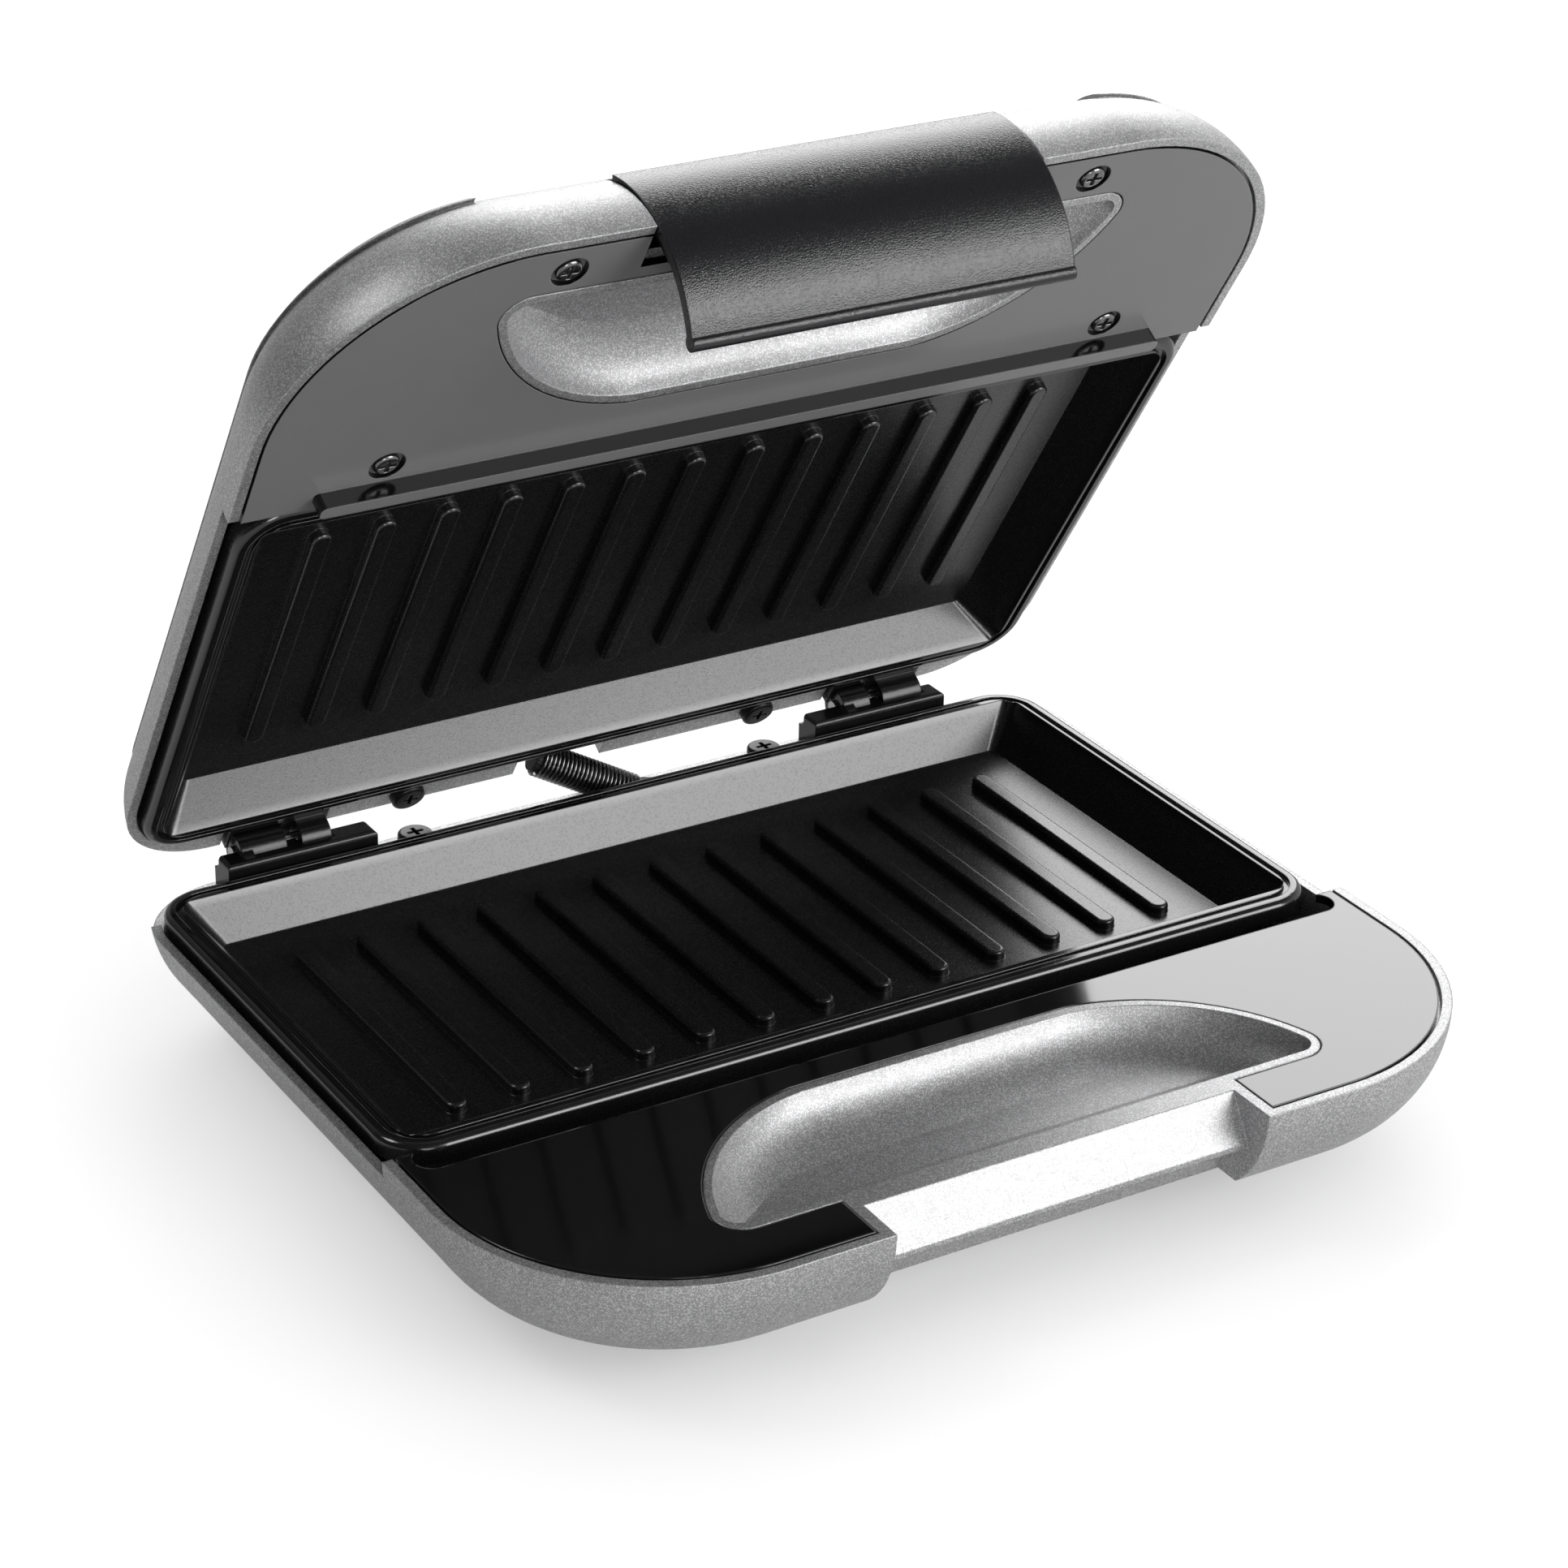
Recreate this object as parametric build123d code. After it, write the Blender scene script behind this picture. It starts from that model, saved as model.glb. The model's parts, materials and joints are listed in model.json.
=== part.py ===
from build123d import *
import math
import os

# Two-slice sandwich maker with a hinged lid, a front latch and ribbed plates.
# Millimetres, +Z up. The origin is on the table under the middle of the open
# appliance. Heights below are given from the parting level, the rim of the
# lower plate, and depths from the middle of that plate.

# Placing in the frame
parting_height = 32.0
plate_middle_y = 21.8
open_angle = 57.4
closed_gap = 1.6

# Grill plates
plate_width = 225.0
plate_depth = 121.0
plate_corner_radius = 11.0
plate_rim_height = 4.6
plate_rim_round = 1.6
plate_wall = 3.0
cavity_depth = 10.0
cavity_top_margin_x = 4.7
cavity_top_margin_y = 5.4
cavity_floor_margin_x = 12.5
cavity_floor_margin_y = 10.2
cavity_corner_radius = 3.0
cavity_floor_radius = 1.5
rim_groove_inset = 2.6
rim_groove_width = 1.4
rim_groove_depth = 0.9
rib_count = 13
rib_side_margin = 13.0
rib_end_margin = 12.8
rib_width = 4.6
rib_height = 2.2
rib_round = 0.9
plate_boss_diameter = 8.0
plate_boss_length = 3.6
plate_boss_inset = 24.5
plate_front_y = -plate_depth / 2
plate_rear_y = plate_depth / 2
plate_boss_x = plate_width / 2 - plate_boss_inset
plate_boss_y = plate_depth / 2 - plate_boss_inset
rib_length = plate_depth - 2 * cavity_floor_margin_y - 2 * rib_end_margin
rib_pitch = (plate_width - 2 * cavity_floor_margin_x - 2 * rib_side_margin) / (rib_count - 1)

# Housing shells
side_overhang = 3.8
front_overhang = 72.0
rear_overhang = 9.5
shell_front_radius = 50.0
shell_rear_radius = 24.0
shell_side_bulge = 26.0
shell_rear_bulge = 9.0
shell_floor_corner_radius = 5.0
shell_wall = 2.2
base_rim_level = 0.6
base_depth = 26.0
lid_rim_drop = 0.3
lid_height = 25.6
side_rim_drop = 3.6
side_rim_start_gap = 1.5
low_rim_length = 7.0
rear_deck_drop = 5.8
deck_thickness = 2.4
lid_deck_rise = 3.5
deck_front_gap = 0.7
shoulder_rise = 0.9
shoulder_inner_x = 71.0
shoulder_start = 19.3
rim_angles = [0, 14, 28, 42, 56, 70, 80, 90]
cut_over = 5.0
shell_width = plate_width + 2 * side_overhang
shell_front_y = plate_front_y - front_overhang
shell_rear_y = plate_rear_y + rear_overhang
side_rim_start_y = plate_front_y - side_rim_start_gap

# Trim panels
trim_inset = 2.9
trim_thickness = 2.0
trim_gap = 0.35
trim_groove = 8.7
trim_tab_length = 7.1
trim_notch_radius = 4.0
trim_notch_wall = 2.4
ledge_width = 4.0
ledge_thickness = 1.6
lid_panel_gap = 0.4
bar_end_inset = 13.5
bar_plate_gap = 2.2
bar_thickness = 3.3
bar_drop = 3.9
bar_end_round = 1.2
base_trim_rear_y = plate_front_y - trim_groove
trim_tab_rear_y = base_trim_rear_y + trim_tab_length
trim_notch_half = shell_width / 2 - trim_inset - trim_notch_wall
lid_panel_rear_y = plate_front_y - lid_panel_gap
bar_half_length = plate_width / 2 - bar_end_inset
bar_rear_y = plate_front_y - bar_plate_gap
bar_front_y = bar_rear_y - bar_thickness

# Finger scoops
scoop_side_margin = 44.0
scoop_round_width = 39.3
scoop_front_margin = 15.3
scoop_reach = 40.6
scoop_middle_x_share = 0.72
scoop_middle_y_share = 0.62
scoop_strip = 2.2
scoop_depth = 9.0
scoop_floor_inset = 13.0
scoop_tip_radius = 6.0
scoop_tip_least = 1.2
scoop_level_shares = [0.0, 0.42, 0.76, 1.0]
scoop_inset_shares = [0.0, 0.16, 0.46, 1.0]
scoop_half_width = shell_width / 2 - scoop_side_margin
scoop_flat_half_width = scoop_half_width - scoop_round_width
scoop_front_y = shell_front_y + scoop_front_margin
scoop_rear_y = scoop_front_y + scoop_reach

# Front of the base between the two lugs
lug_gap_half = 43.6
lug_wall = 2.5
ridge_inset = 11.9
lip_inset = 6.2
lip_level = -8.7
lip_thickness = 1.2
lip_fall = 0.4
lip_depth = 3.8
front_bar_foot_inset = 15.0
front_bar_foot_level = -19.0
front_bar_wall = 3.6
underside_half_width = 59.5
underside_level = -19.2
underside_depth = 28.5
ridge_front_y = shell_front_y + ridge_inset
lip_y = shell_front_y + lip_inset
lip_back_y = lip_y + lip_depth
front_bar_foot_y = shell_front_y + front_bar_foot_inset
underside_rear_y = shell_front_y + underside_depth

# Latch
latch_side_play = 0.3
latch_arc_radius = 29.5
latch_thickness = 2.0
latch_top_angle = 36.2
latch_bottom_angle = -47.0
latch_web_angle = -12.0
latch_web_depth = 3.4
latch_bead_diameter = 3.2
latch_pivot_inset = 12.6
latch_pivot_level = 15.6
latch_axle_diameter = 3.0
latch_axle_fit = 0.06
latch_ear_inset = 1.7
latch_ear_thickness = 2.4
latch_ear_radius = 3.4
latch_side_gap = 0.4
latch_hook_bite = 1.8
latch_hook_gap = 0.6
latch_hook_height = 3.0
latch_hook_width = 9.0
latch_hook_x = 22.0
window_angle = 41.1
window_depth = 18.0
strip_support = 1.8
bracket_plate_gap = 0.9
bracket_thickness = 2.0
bracket_low_level = 13.4
bracket_flange_depth = 12.0
bracket_side_gap = 2.6
bracket_ear_radius = 3.8
latch_spring_diameter = 5.6
latch_spring_wire = 0.9
latch_spring_pitch = 1.4
latch_spring_turns = 5
latch_spring_leg = 3.4
latch_spring_x = 32.0
latch_half_width = lug_gap_half - latch_side_play
latch_arc_y = shell_front_y + latch_arc_radius
latch_pivot_y = shell_front_y + latch_pivot_inset
latch_ear_outer_x = latch_half_width - latch_ear_inset
latch_hook_reach_y = lip_y + latch_hook_bite
window_rear_y = shell_front_y + window_depth
bracket_plate_y = window_rear_y + bracket_plate_gap
bracket_half_width = lug_gap_half - bracket_side_gap

# Hinges
hinge_rear_inset = 1.3
hinge_level = 1.05
hinge_side_inset = 23.3
hinge_span = 36.0
knuckle_radius = 4.6
outer_knuckle_inset = 4.6
outer_knuckle_length = 10.8
knuckle_space = 3.6
inner_knuckle_length = 7.2
hinge_pin_diameter = 3.6
hinge_pin_fit = 0.05
hinge_pin_end = 0.8
hinge_block_top = 2.2
hinge_block_front_gap = 0.9
hinge_block_rear_gap = 1.0
hinge_block_round = 1.0
hinge_gap = 0.5
gusset_thickness = 2.6
gusset_front_step = 1.2
gusset_drop = 0.4
lid_slab_margin = 1.2
lid_block_low = 3.4
lid_block_step = 7.2
lid_block_high = 13.0
lid_block_rear_gap = 0.6
hinge_screw_inset = 2.7
hinge_screw_step = 2.4
hinge_screw_depth = 5.0
hinge_screw_head_diameter = 5.2
hinge_y = shell_rear_y - hinge_rear_inset
hinge_outer_x = shell_width / 2 - hinge_side_inset
hinge_inner_x = hinge_outer_x - hinge_span
outer_knuckle_far_x = hinge_outer_x - outer_knuckle_inset
outer_knuckle_near_x = outer_knuckle_far_x - outer_knuckle_length
inner_knuckle_far_x = outer_knuckle_near_x - knuckle_space
inner_knuckle_near_x = inner_knuckle_far_x - inner_knuckle_length
hinge_block_front_y = plate_rear_y + hinge_block_front_gap
hinge_block_rear_y = shell_rear_y - hinge_block_rear_gap
gusset_front_y = hinge_block_front_y + gusset_front_step
lid_block_rear_y = shell_rear_y - lid_block_rear_gap
hinge_screw_y = hinge_block_front_y + hinge_screw_step

# Heating elements and shields
element_diameter = 6.4
element_side_inset = 42.5
element_end_inset = 23.5
element_bend = 16.0
element_end_x = 22.0
element_gap = 0.2
clip_width = 9.0
clip_wing = 6.0
clip_thickness = 0.8
shield_thickness = 0.6
shield_gap = 0.4
shield_side_inset = 16.5
shield_end_inset = 13.5
shield_corner = 8.0
shield_post_diameter = 7.4
shield_post_fit = 0.3
element_half_x = plate_width / 2 - element_side_inset
element_half_y = plate_depth / 2 - element_end_inset

# Screws
screw_diameter = 3.0
screw_fit = 0.05
screw_head_diameter = 7.0
screw_head_height = 2.4
screw_head_round = 0.8
deck_screw_gap = 11.4
deck_screw_inset = 4.0
deck_head_diameter = 8.0
deck_boss_depth = 7.0
panel_screw_front_gap = 15.8
panel_screw_front_inset = 9.5
panel_screw_side_inset = 27.9
panel_screw_plate_gap = 10.3
panel_screw_length = 9.0
panel_head_diameter = 5.6
panel_head_height = 1.6
panel_recess_diameter = 7.8
panel_recess_depth = 1.4
panel_boss_diameter = 8.4
panel_boss_height = 13.0
cross_length = 3.8
cross_width = 0.9
cross_depth = 1.1
bottom_recess_diameter = 7.8
bottom_recess_depth = 2.8
bottom_boss_diameter = 9.6
deck_screw_x = hinge_inner_x - deck_screw_gap
deck_screw_y = shell_rear_y - deck_screw_inset
panel_screw_front_x = lug_gap_half + panel_screw_front_gap
panel_screw_front_y = shell_front_y + panel_screw_front_inset
panel_screw_rear_x = plate_width / 2 - panel_screw_side_inset
panel_screw_rear_y = plate_front_y - panel_screw_plate_gap

# Feet
foot_diameter = 15.0
foot_recess_depth = 1.2
foot_side_inset = 40.3
foot_front_inset = 52.5
foot_rear_inset = 24.0
foot_edge = 1.4
foot_neck_diameter = 5.0
foot_neck_fit = 0.1
foot_barb_diameter = 7.4
foot_barb_height = 1.2
foot_x = shell_width / 2 - foot_side_inset
foot_front_y = shell_front_y + foot_front_inset
foot_rear_y = shell_rear_y - foot_rear_inset

# Controls and wiring pieces
lamp_diameter = 7.0
lamp_fit = 0.15
lamp_proud = 1.0
lamp_flange_diameter = 9.0
lamp_flange_height = 1.2
lamp_spacing = 24.0
lamp_inset = 44.5
lamp_holder_width = 44.0
lamp_holder_depth = 14.0
lamp_holder_height = 6.0
lamp_bore = 5.0
thermostat_diameter = 13.0
thermostat_height = 4.6
thermostat_x = 20.0
thermostat_tab = 5.0
fuse_diameter = 3.4
fuse_length = 12.0
fuse_lead_diameter = 1.0
fuse_lead_length = 8.0
fuse_x = -20.0
terminal_length = 26.0
terminal_width = 12.0
terminal_height = 8.0
terminal_ways = 3
terminal_bore = 3.0
terminal_inset = 40.5
inlet_x = -30.0
inlet_level = -15.4
inlet_flange_diameter = 12.0
inlet_neck_diameter = 9.6
inlet_bore = 6.6
inlet_flange = 1.8
inlet_fit = 0.1
vent_count = 7
vent_pitch = 9.0
vent_length = 34.0
vent_width = 2.6
lamp_y = shell_front_y + lamp_inset
terminal_x = inlet_x
terminal_y = shell_front_y + terminal_inset

# Spring conduit between base and lid
conduit_diameter = 8.6
conduit_wire = 0.6
conduit_pitch = 1.06
conduit_turns = 24
conduit_middle_x = -0.6
conduit_middle_inset = 0.1
conduit_middle_level = -0.4
conduit_drop_angle = 27.0
conduit_lean_angle = 14.0
conduit_clearance = 0.8
conduit_room_gap = 1.1
conduit_room_left = -17.5
conduit_room_right = 5.0
conduit_room_high = 12.0
conduit_middle_y = hinge_y - conduit_middle_inset
conduit_room_front = plate_rear_y + conduit_room_gap

# Levels that follow
deck_level = base_rim_level - rear_deck_drop
lid_rim_level = closed_gap - lid_rim_drop
lid_deck_level = lid_rim_level + lid_deck_rise
lid_top = lid_rim_level + lid_height
plate_bottom = -cavity_depth - plate_wall
element_level = plate_bottom - element_gap - element_diameter / 2
clip_bottom = element_level - element_diameter / 2 - element_gap / 2 - clip_thickness
shield_top = clip_bottom - shield_gap
base_bottom = base_rim_level - base_depth
base_floor = base_bottom + shell_wall
screw_hole = screw_diameter + 2 * screw_fit
pin_bore = hinge_pin_diameter + 2 * hinge_pin_fit
latch_inner_radius = latch_arc_radius - latch_thickness
underside_roof = underside_level + shell_wall
lid_panel_top = lid_rim_level + trim_thickness
shoulder_level = lid_rim_level + shoulder_start
boss_places = [(x, y) for x in (-plate_boss_x, plate_boss_x) for y in (-plate_boss_y, plate_boss_y)]
foot_places = [(x, y) for x in (-foot_x, foot_x) for y in (foot_front_y, foot_rear_y)]
panel_screw_places = [(-panel_screw_front_x, panel_screw_front_y), (panel_screw_front_x, panel_screw_front_y),
                      (-panel_screw_rear_x, panel_screw_rear_y), (panel_screw_rear_x, panel_screw_rear_y)]


def place(shape):
    """Move a base piece from the plate's own levels to the frame."""
    return Pos(0, plate_middle_y, parting_height) * shape


def place_open(shape):
    """Move a lid piece to the frame and swing it open about the hinge."""
    hinge_line = Axis((0, hinge_y, hinge_level), (1, 0, 0))
    return place(shape.rotate(hinge_line, -open_angle))


def upside_down(shape):
    """Turn a lower piece into its upper twin, mirrored about the closed gap."""
    return Pos(0, 0, closed_gap) * mirror(shape, about=Plane.XY)


def block(x0, x1, y0, y1, z0, z1):
    """A block given by its two opposite corners."""
    middle = Pos((x0 + x1) / 2, (y0 + y1) / 2, (z0 + z1) / 2)
    return middle * Box(x1 - x0, y1 - y0, z1 - z0)


def rod_z(x, y, z0, z1, diameter):
    """An upright cylinder from level z0 to level z1."""
    return Pos(x, y, (z0 + z1) / 2) * Cylinder(diameter / 2, z1 - z0)


def rod_x(x0, x1, y, z, diameter):
    """A cylinder along X from x0 to x1."""
    return Pos((x0 + x1) / 2, y, z) * Rot(0, 90, 0) * Cylinder(diameter / 2, x1 - x0)


def profile_x(points, x0, x1):
    """A prism along X from x0 to x1 over a polygon of (y, z) points."""
    face = make_face(Polyline(*[(x0, y, z) for y, z in points], close=True))
    return extrude(face, amount=x1 - x0, dir=(1, 0, 0))


def main_solid(shape):
    """The largest solid of a shape, without crumbs left by a cut."""
    return max(shape.solids(), key=lambda solid: solid.volume)


def rounded_block(width, depth, radius, z0, z1):
    """A block with rounded upright corners, centred on the plate."""
    return Pos(0, 0, z0) * extrude(RectangleRounded(width, depth, radius), amount=z1 - z0)


def shell_section(inset, rear_inset, level):
    """The housing's outline drawn in by an inset, at a level."""
    front = shell_front_y + inset
    rear = shell_rear_y - rear_inset
    outline = Rectangle(shell_width - 2 * inset, rear - front)
    rear_radius = max(shell_rear_radius - rear_inset, shell_floor_corner_radius)
    outline = fillet(outline.vertices().group_by(Axis.Y)[0], shell_front_radius - inset)
    outline = fillet(outline.vertices().group_by(Axis.Y)[-1], rear_radius)
    return Pos(0, (front + rear) / 2, level) * outline


def shell_form(rim_level, height, wall, toward):
    """The bulging solid of a housing, or its hollow where a wall is given."""
    sections = []
    for angle in rim_angles:
        lean = 1 - math.cos(math.radians(angle))
        inset = wall + (shell_side_bulge - wall) * lean
        rear_inset = wall + shell_rear_bulge * lean
        level = rim_level + toward * (height - wall) * math.sin(math.radians(angle))
        sections.append(shell_section(inset, rear_inset, level))
    return loft(sections)


def half_moon(inset, level):
    """The finger scoop's outline drawn in by an inset, at a level."""
    flat = scoop_flat_half_width - inset / 2
    tip = scoop_half_width - inset
    front = scoop_front_y + inset
    rear = scoop_rear_y - inset
    middle_x = flat + (tip - flat) * scoop_middle_x_share
    middle_y = front + (rear - front) * scoop_middle_y_share
    right = ThreePointArc((tip, front), (middle_x, middle_y), (flat, rear))
    left = ThreePointArc((-flat, rear), (-middle_x, middle_y), (-tip, front))
    back = Line((flat, rear), (-flat, rear))
    outline = make_face([Line((-tip, front), (tip, front)), right, back, left])
    tips = outline.vertices().group_by(Axis.Y)[0]
    outline = fillet(tips, max(scoop_tip_radius - inset, scoop_tip_least))
    return Pos(0, 0, level) * outline


def scoop_form(rim_level, edge_inset, drop, toward):
    """The bowl of a finger scoop, reaching into the housing from its rim."""
    sections = []
    for level_share, inset_share in zip(scoop_level_shares, scoop_inset_shares):
        inset = edge_inset + scoop_floor_inset * inset_share
        sections.append(half_moon(inset, rim_level + toward * drop * level_share))
    return loft(sections)


def open_shell(rim_level, height, toward):
    """A housing's outer form and its hollowed wall."""
    outer = shell_form(rim_level, height, 0, toward)
    return outer, outer - shell_form(rim_level, height, shell_wall, toward)


def panel_ledge(rim_level, toward, rear_y):
    """The shelf that runs inside the rim and carries a trim panel."""
    seat = rim_level + toward * trim_thickness
    foot = seat + toward * ledge_thickness
    zone = block(-shell_width, shell_width, shell_front_y, rear_y, min(seat, foot), max(seat, foot))
    inner = shell_section(trim_inset + ledge_width, 0, min(seat, foot))
    return zone - extrude(inner, amount=ledge_thickness)


def lug_walls(rear_y, z0, z1):
    """The two end walls beside the gap for the latch."""
    walls = []
    for side in (-1, 1):
        near = side * lug_gap_half
        far = side * (lug_gap_half + lug_wall)
        walls.append(block(min(near, far), max(near, far), shell_front_y, rear_y, z0, z1))
    return walls


def front_gap_profile():
    """The (y, z) outline of the room in front of the base's bar."""
    lip_foot = lip_level - lip_thickness
    return [
        (shell_front_y - cut_over, base_rim_level + cut_over),
        (ridge_front_y, base_rim_level + cut_over),
        (ridge_front_y, base_rim_level),
        (lip_y, lip_level),
        (lip_y, lip_foot),
        (lip_back_y, lip_foot - lip_fall),
        (front_bar_foot_y, front_bar_foot_level),
        (front_bar_foot_y, base_bottom - cut_over),
        (shell_front_y - cut_over, base_bottom - cut_over),
    ]


def front_bar():
    """The sloping bar with its lip, carried between the lugs."""
    face = front_gap_profile()[2:8]
    back = [(y + front_bar_wall, z) for y, z in reversed(face)]
    half = lug_gap_half + lug_wall
    return profile_x(face + back, -half, half)


def underside_recess(outer):
    """The walls of the raised floor under the base's front, and its room."""
    half = underside_half_width
    far = half + shell_wall
    rear = underside_rear_y + shell_wall
    walls = block(-far, far, shell_front_y, rear, underside_level, underside_roof)
    walls = walls + block(-far, far, underside_rear_y, rear, base_bottom, underside_roof)
    for side in (-1, 1):
        x0, x1 = sorted((side * half, side * far))
        walls = walls + block(x0, x1, shell_front_y, rear, base_bottom, underside_roof)
    room = block(
        -half, half, shell_front_y - cut_over, underside_rear_y, base_bottom - cut_over, underside_level)
    return walls & outer, room


def conduit_axis():
    """The direction of the spring conduit, from the base up to the lid."""
    drop = math.radians(conduit_drop_angle)
    lean = math.radians(conduit_lean_angle)
    return Vector(-math.cos(drop) * math.cos(lean), math.cos(drop) * math.sin(lean), math.sin(drop))


def conduit_room():
    """The passage that the housings leave around the spring conduit."""
    length = conduit_pitch * conduit_turns + 2 * conduit_diameter
    middle = Vector(conduit_middle_x, conduit_middle_y, conduit_middle_level)
    plane = Plane(origin=middle, z_dir=conduit_axis())
    return plane * Cylinder(conduit_diameter / 2 + conduit_clearance, length)


def base_shell():
    """The silver lower housing with scoop, lugs, bar and bosses."""
    outer, shell = open_shell(base_rim_level, base_depth, -1)
    shell = shell + (block(
        -shell_width, shell_width, plate_rear_y + deck_front_gap, shell_rear_y,
        deck_level - deck_thickness, deck_level) & outer)
    shell = shell + (panel_ledge(base_rim_level, -1, base_trim_rear_y + trim_gap) & outer)
    shell = shell + (scoop_form(base_rim_level, 0, scoop_depth + shell_wall, -1) & outer)
    for wall in lug_walls(scoop_front_y, base_bottom, base_rim_level):
        shell = shell + (wall & outer)
    shell = shell + (front_bar() & outer)
    recess_walls, recess_room = underside_recess(outer)
    shell = shell + recess_walls - recess_room
    post_top = plate_bottom - plate_boss_length
    for x, y in boss_places:
        boss = rod_z(x, y, base_bottom, shield_top - shield_thickness, bottom_boss_diameter)
        shell = shell + (boss & outer)
        shell = shell + rod_z(x, y, base_floor, post_top, shield_post_diameter)
    for x in (-deck_screw_x, deck_screw_x):
        boss = rod_z(x, deck_screw_y, deck_level - deck_boss_depth, deck_level, deck_head_diameter)
        shell = shell + (boss & outer)
    shell = shell - profile_x(front_gap_profile(), -lug_gap_half, lug_gap_half)
    shell = shell - scoop_form(base_rim_level, scoop_strip, scoop_depth, -1)
    shell = shell - block(
        -shell_width, shell_width, side_rim_start_y, shell_rear_y + cut_over,
        base_rim_level - side_rim_drop, base_rim_level + cut_over)
    shell = shell - block(
        -shell_width, shell_width, plate_rear_y - low_rim_length, shell_rear_y + cut_over,
        deck_level, base_rim_level + cut_over)
    for x, y in boss_places:
        shell = shell - rod_z(x, y, base_bottom - cut_over, post_top + cut_over, screw_hole)
        shell = shell - rod_z(
            x, y, base_bottom - cut_over, base_bottom + bottom_recess_depth, bottom_recess_diameter)
    for x, y in foot_places:
        shell = shell - rod_z(x, y, base_bottom - cut_over, base_bottom + foot_recess_depth, foot_diameter)
        shell = shell - rod_z(
            x, y, base_bottom - cut_over, base_floor + cut_over, foot_neck_diameter + 2 * foot_neck_fit)
    hole_end = deck_level - 2 * deck_boss_depth
    for x in (-deck_screw_x, deck_screw_x):
        shell = shell - rod_z(x, deck_screw_y, hole_end, deck_level + cut_over, screw_hole)
    for x in hinge_screw_xs():
        shell = shell - rod_z(
            x, hinge_screw_y, deck_level - deck_thickness - cut_over, deck_level + cut_over, screw_hole)
    slot = Rot(0, 0, 90) * SlotOverall(vent_length, vent_width)
    for index in range(vent_count):
        x = (index - (vent_count - 1) / 2) * vent_pitch
        shell = shell - Pos(x, 0, base_bottom - cut_over) * extrude(slot, amount=shell_wall + 2 * cut_over)
    neck = Rot(90, 0, 0) * Cylinder(inlet_neck_diameter / 2 + inlet_fit, 2 * (shell_rear_bulge + shell_wall))
    shell = shell - Pos(inlet_x, shell_rear_y, inlet_level) * neck
    shell = shell - conduit_room()
    return main_solid(shell)


def window_profile():
    """The (y, z) outline of the lid's window for the latch cover."""
    middle_z = closed_gap
    far = latch_arc_radius + 2 * cut_over
    angle = math.radians(window_angle)
    top = (latch_arc_y - far * math.cos(angle), middle_z + far * math.sin(angle))
    reach = (latch_arc_y - window_rear_y) / math.cos(angle)
    inner = (window_rear_y, middle_z + reach * math.sin(angle))
    return [
        (top[0] - 2 * cut_over, lid_rim_level - cut_over),
        (ridge_front_y, lid_rim_level - cut_over),
        (ridge_front_y, bracket_low_level),
        (window_rear_y, bracket_low_level),
        inner,
        top,
        (top[0] - 2 * cut_over, top[1]),
    ]


def lid_shell():
    """The silver upper housing with scoop, latch window, shoulders and bosses."""
    outer, shell = open_shell(lid_rim_level, lid_height, 1)
    shell = shell + shoulders(outer)
    strip_rear = scoop_front_y + scoop_strip
    half = lug_gap_half + lug_wall
    shell = shell + (block(
        -shell_width, shell_width, plate_rear_y + deck_front_gap, shell_rear_y,
        lid_deck_level, lid_deck_level + deck_thickness) & outer)
    shell = shell + (panel_ledge(lid_rim_level, 1, lid_panel_rear_y + trim_gap) & outer)
    for wall in lug_walls(strip_rear, lid_panel_top, lid_top):
        shell = shell + (wall & outer)
    shell = shell - profile_x(window_profile(), -lug_gap_half, lug_gap_half)
    shell = shell + block(
        -half, half, ridge_front_y, strip_rear, lid_panel_top, lid_panel_top + strip_support)
    shell = shell + (scoop_form(lid_rim_level, 0, scoop_depth + shell_wall, 1) & outer)
    post_top = closed_gap - plate_bottom + plate_boss_length
    for x, y in panel_screw_places:
        boss = rod_z(x, y, lid_panel_top, lid_panel_top + panel_boss_height, panel_boss_diameter)
        shell = shell + (boss & outer)
    for x, y in boss_places:
        shelf = closed_gap - shield_top + shield_thickness
        shell = shell + (rod_z(x, y, shelf, lid_top, bottom_boss_diameter) & outer)
        shell = shell + rod_z(x, y, post_top, lid_top - shell_wall, shield_post_diameter)
    for x in (-deck_screw_x, deck_screw_x):
        boss = rod_z(x, deck_screw_y, lid_deck_level, lid_deck_level + deck_boss_depth, deck_head_diameter)
        shell = shell + (boss & outer)
    shell = shell - scoop_form(lid_rim_level, scoop_strip, scoop_depth, 1)
    shell = shell - block(
        -shell_width, shell_width, side_rim_start_y, shell_rear_y + cut_over,
        lid_rim_level - cut_over, lid_deck_level)
    for x, y in panel_screw_places:
        shell = shell - rod_z(x, y, lid_rim_level, lid_panel_top + panel_screw_length, screw_hole)
    for x, y in boss_places:
        shell = shell - rod_z(x, y, closed_gap, lid_top - shell_wall, screw_hole)
    hole_end = lid_deck_level + 2 * deck_boss_depth
    for x in (-deck_screw_x, deck_screw_x):
        shell = shell - rod_z(x, deck_screw_y, lid_deck_level - cut_over, hole_end, screw_hole)
    for x in lamp_xs():
        shell = shell - rod_z(x, lamp_y, lid_top - shell_wall - cut_over, lid_top + cut_over,
                              lamp_diameter + 2 * lamp_fit)
    for side in (-1, 1):
        shell = shell - hinge_notch(side)
    room = block(conduit_room_left, conduit_room_right, conduit_room_front, shell_rear_y + cut_over,
                 lid_deck_level - cut_over, conduit_room_high)
    return main_solid(shell - room)


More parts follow.
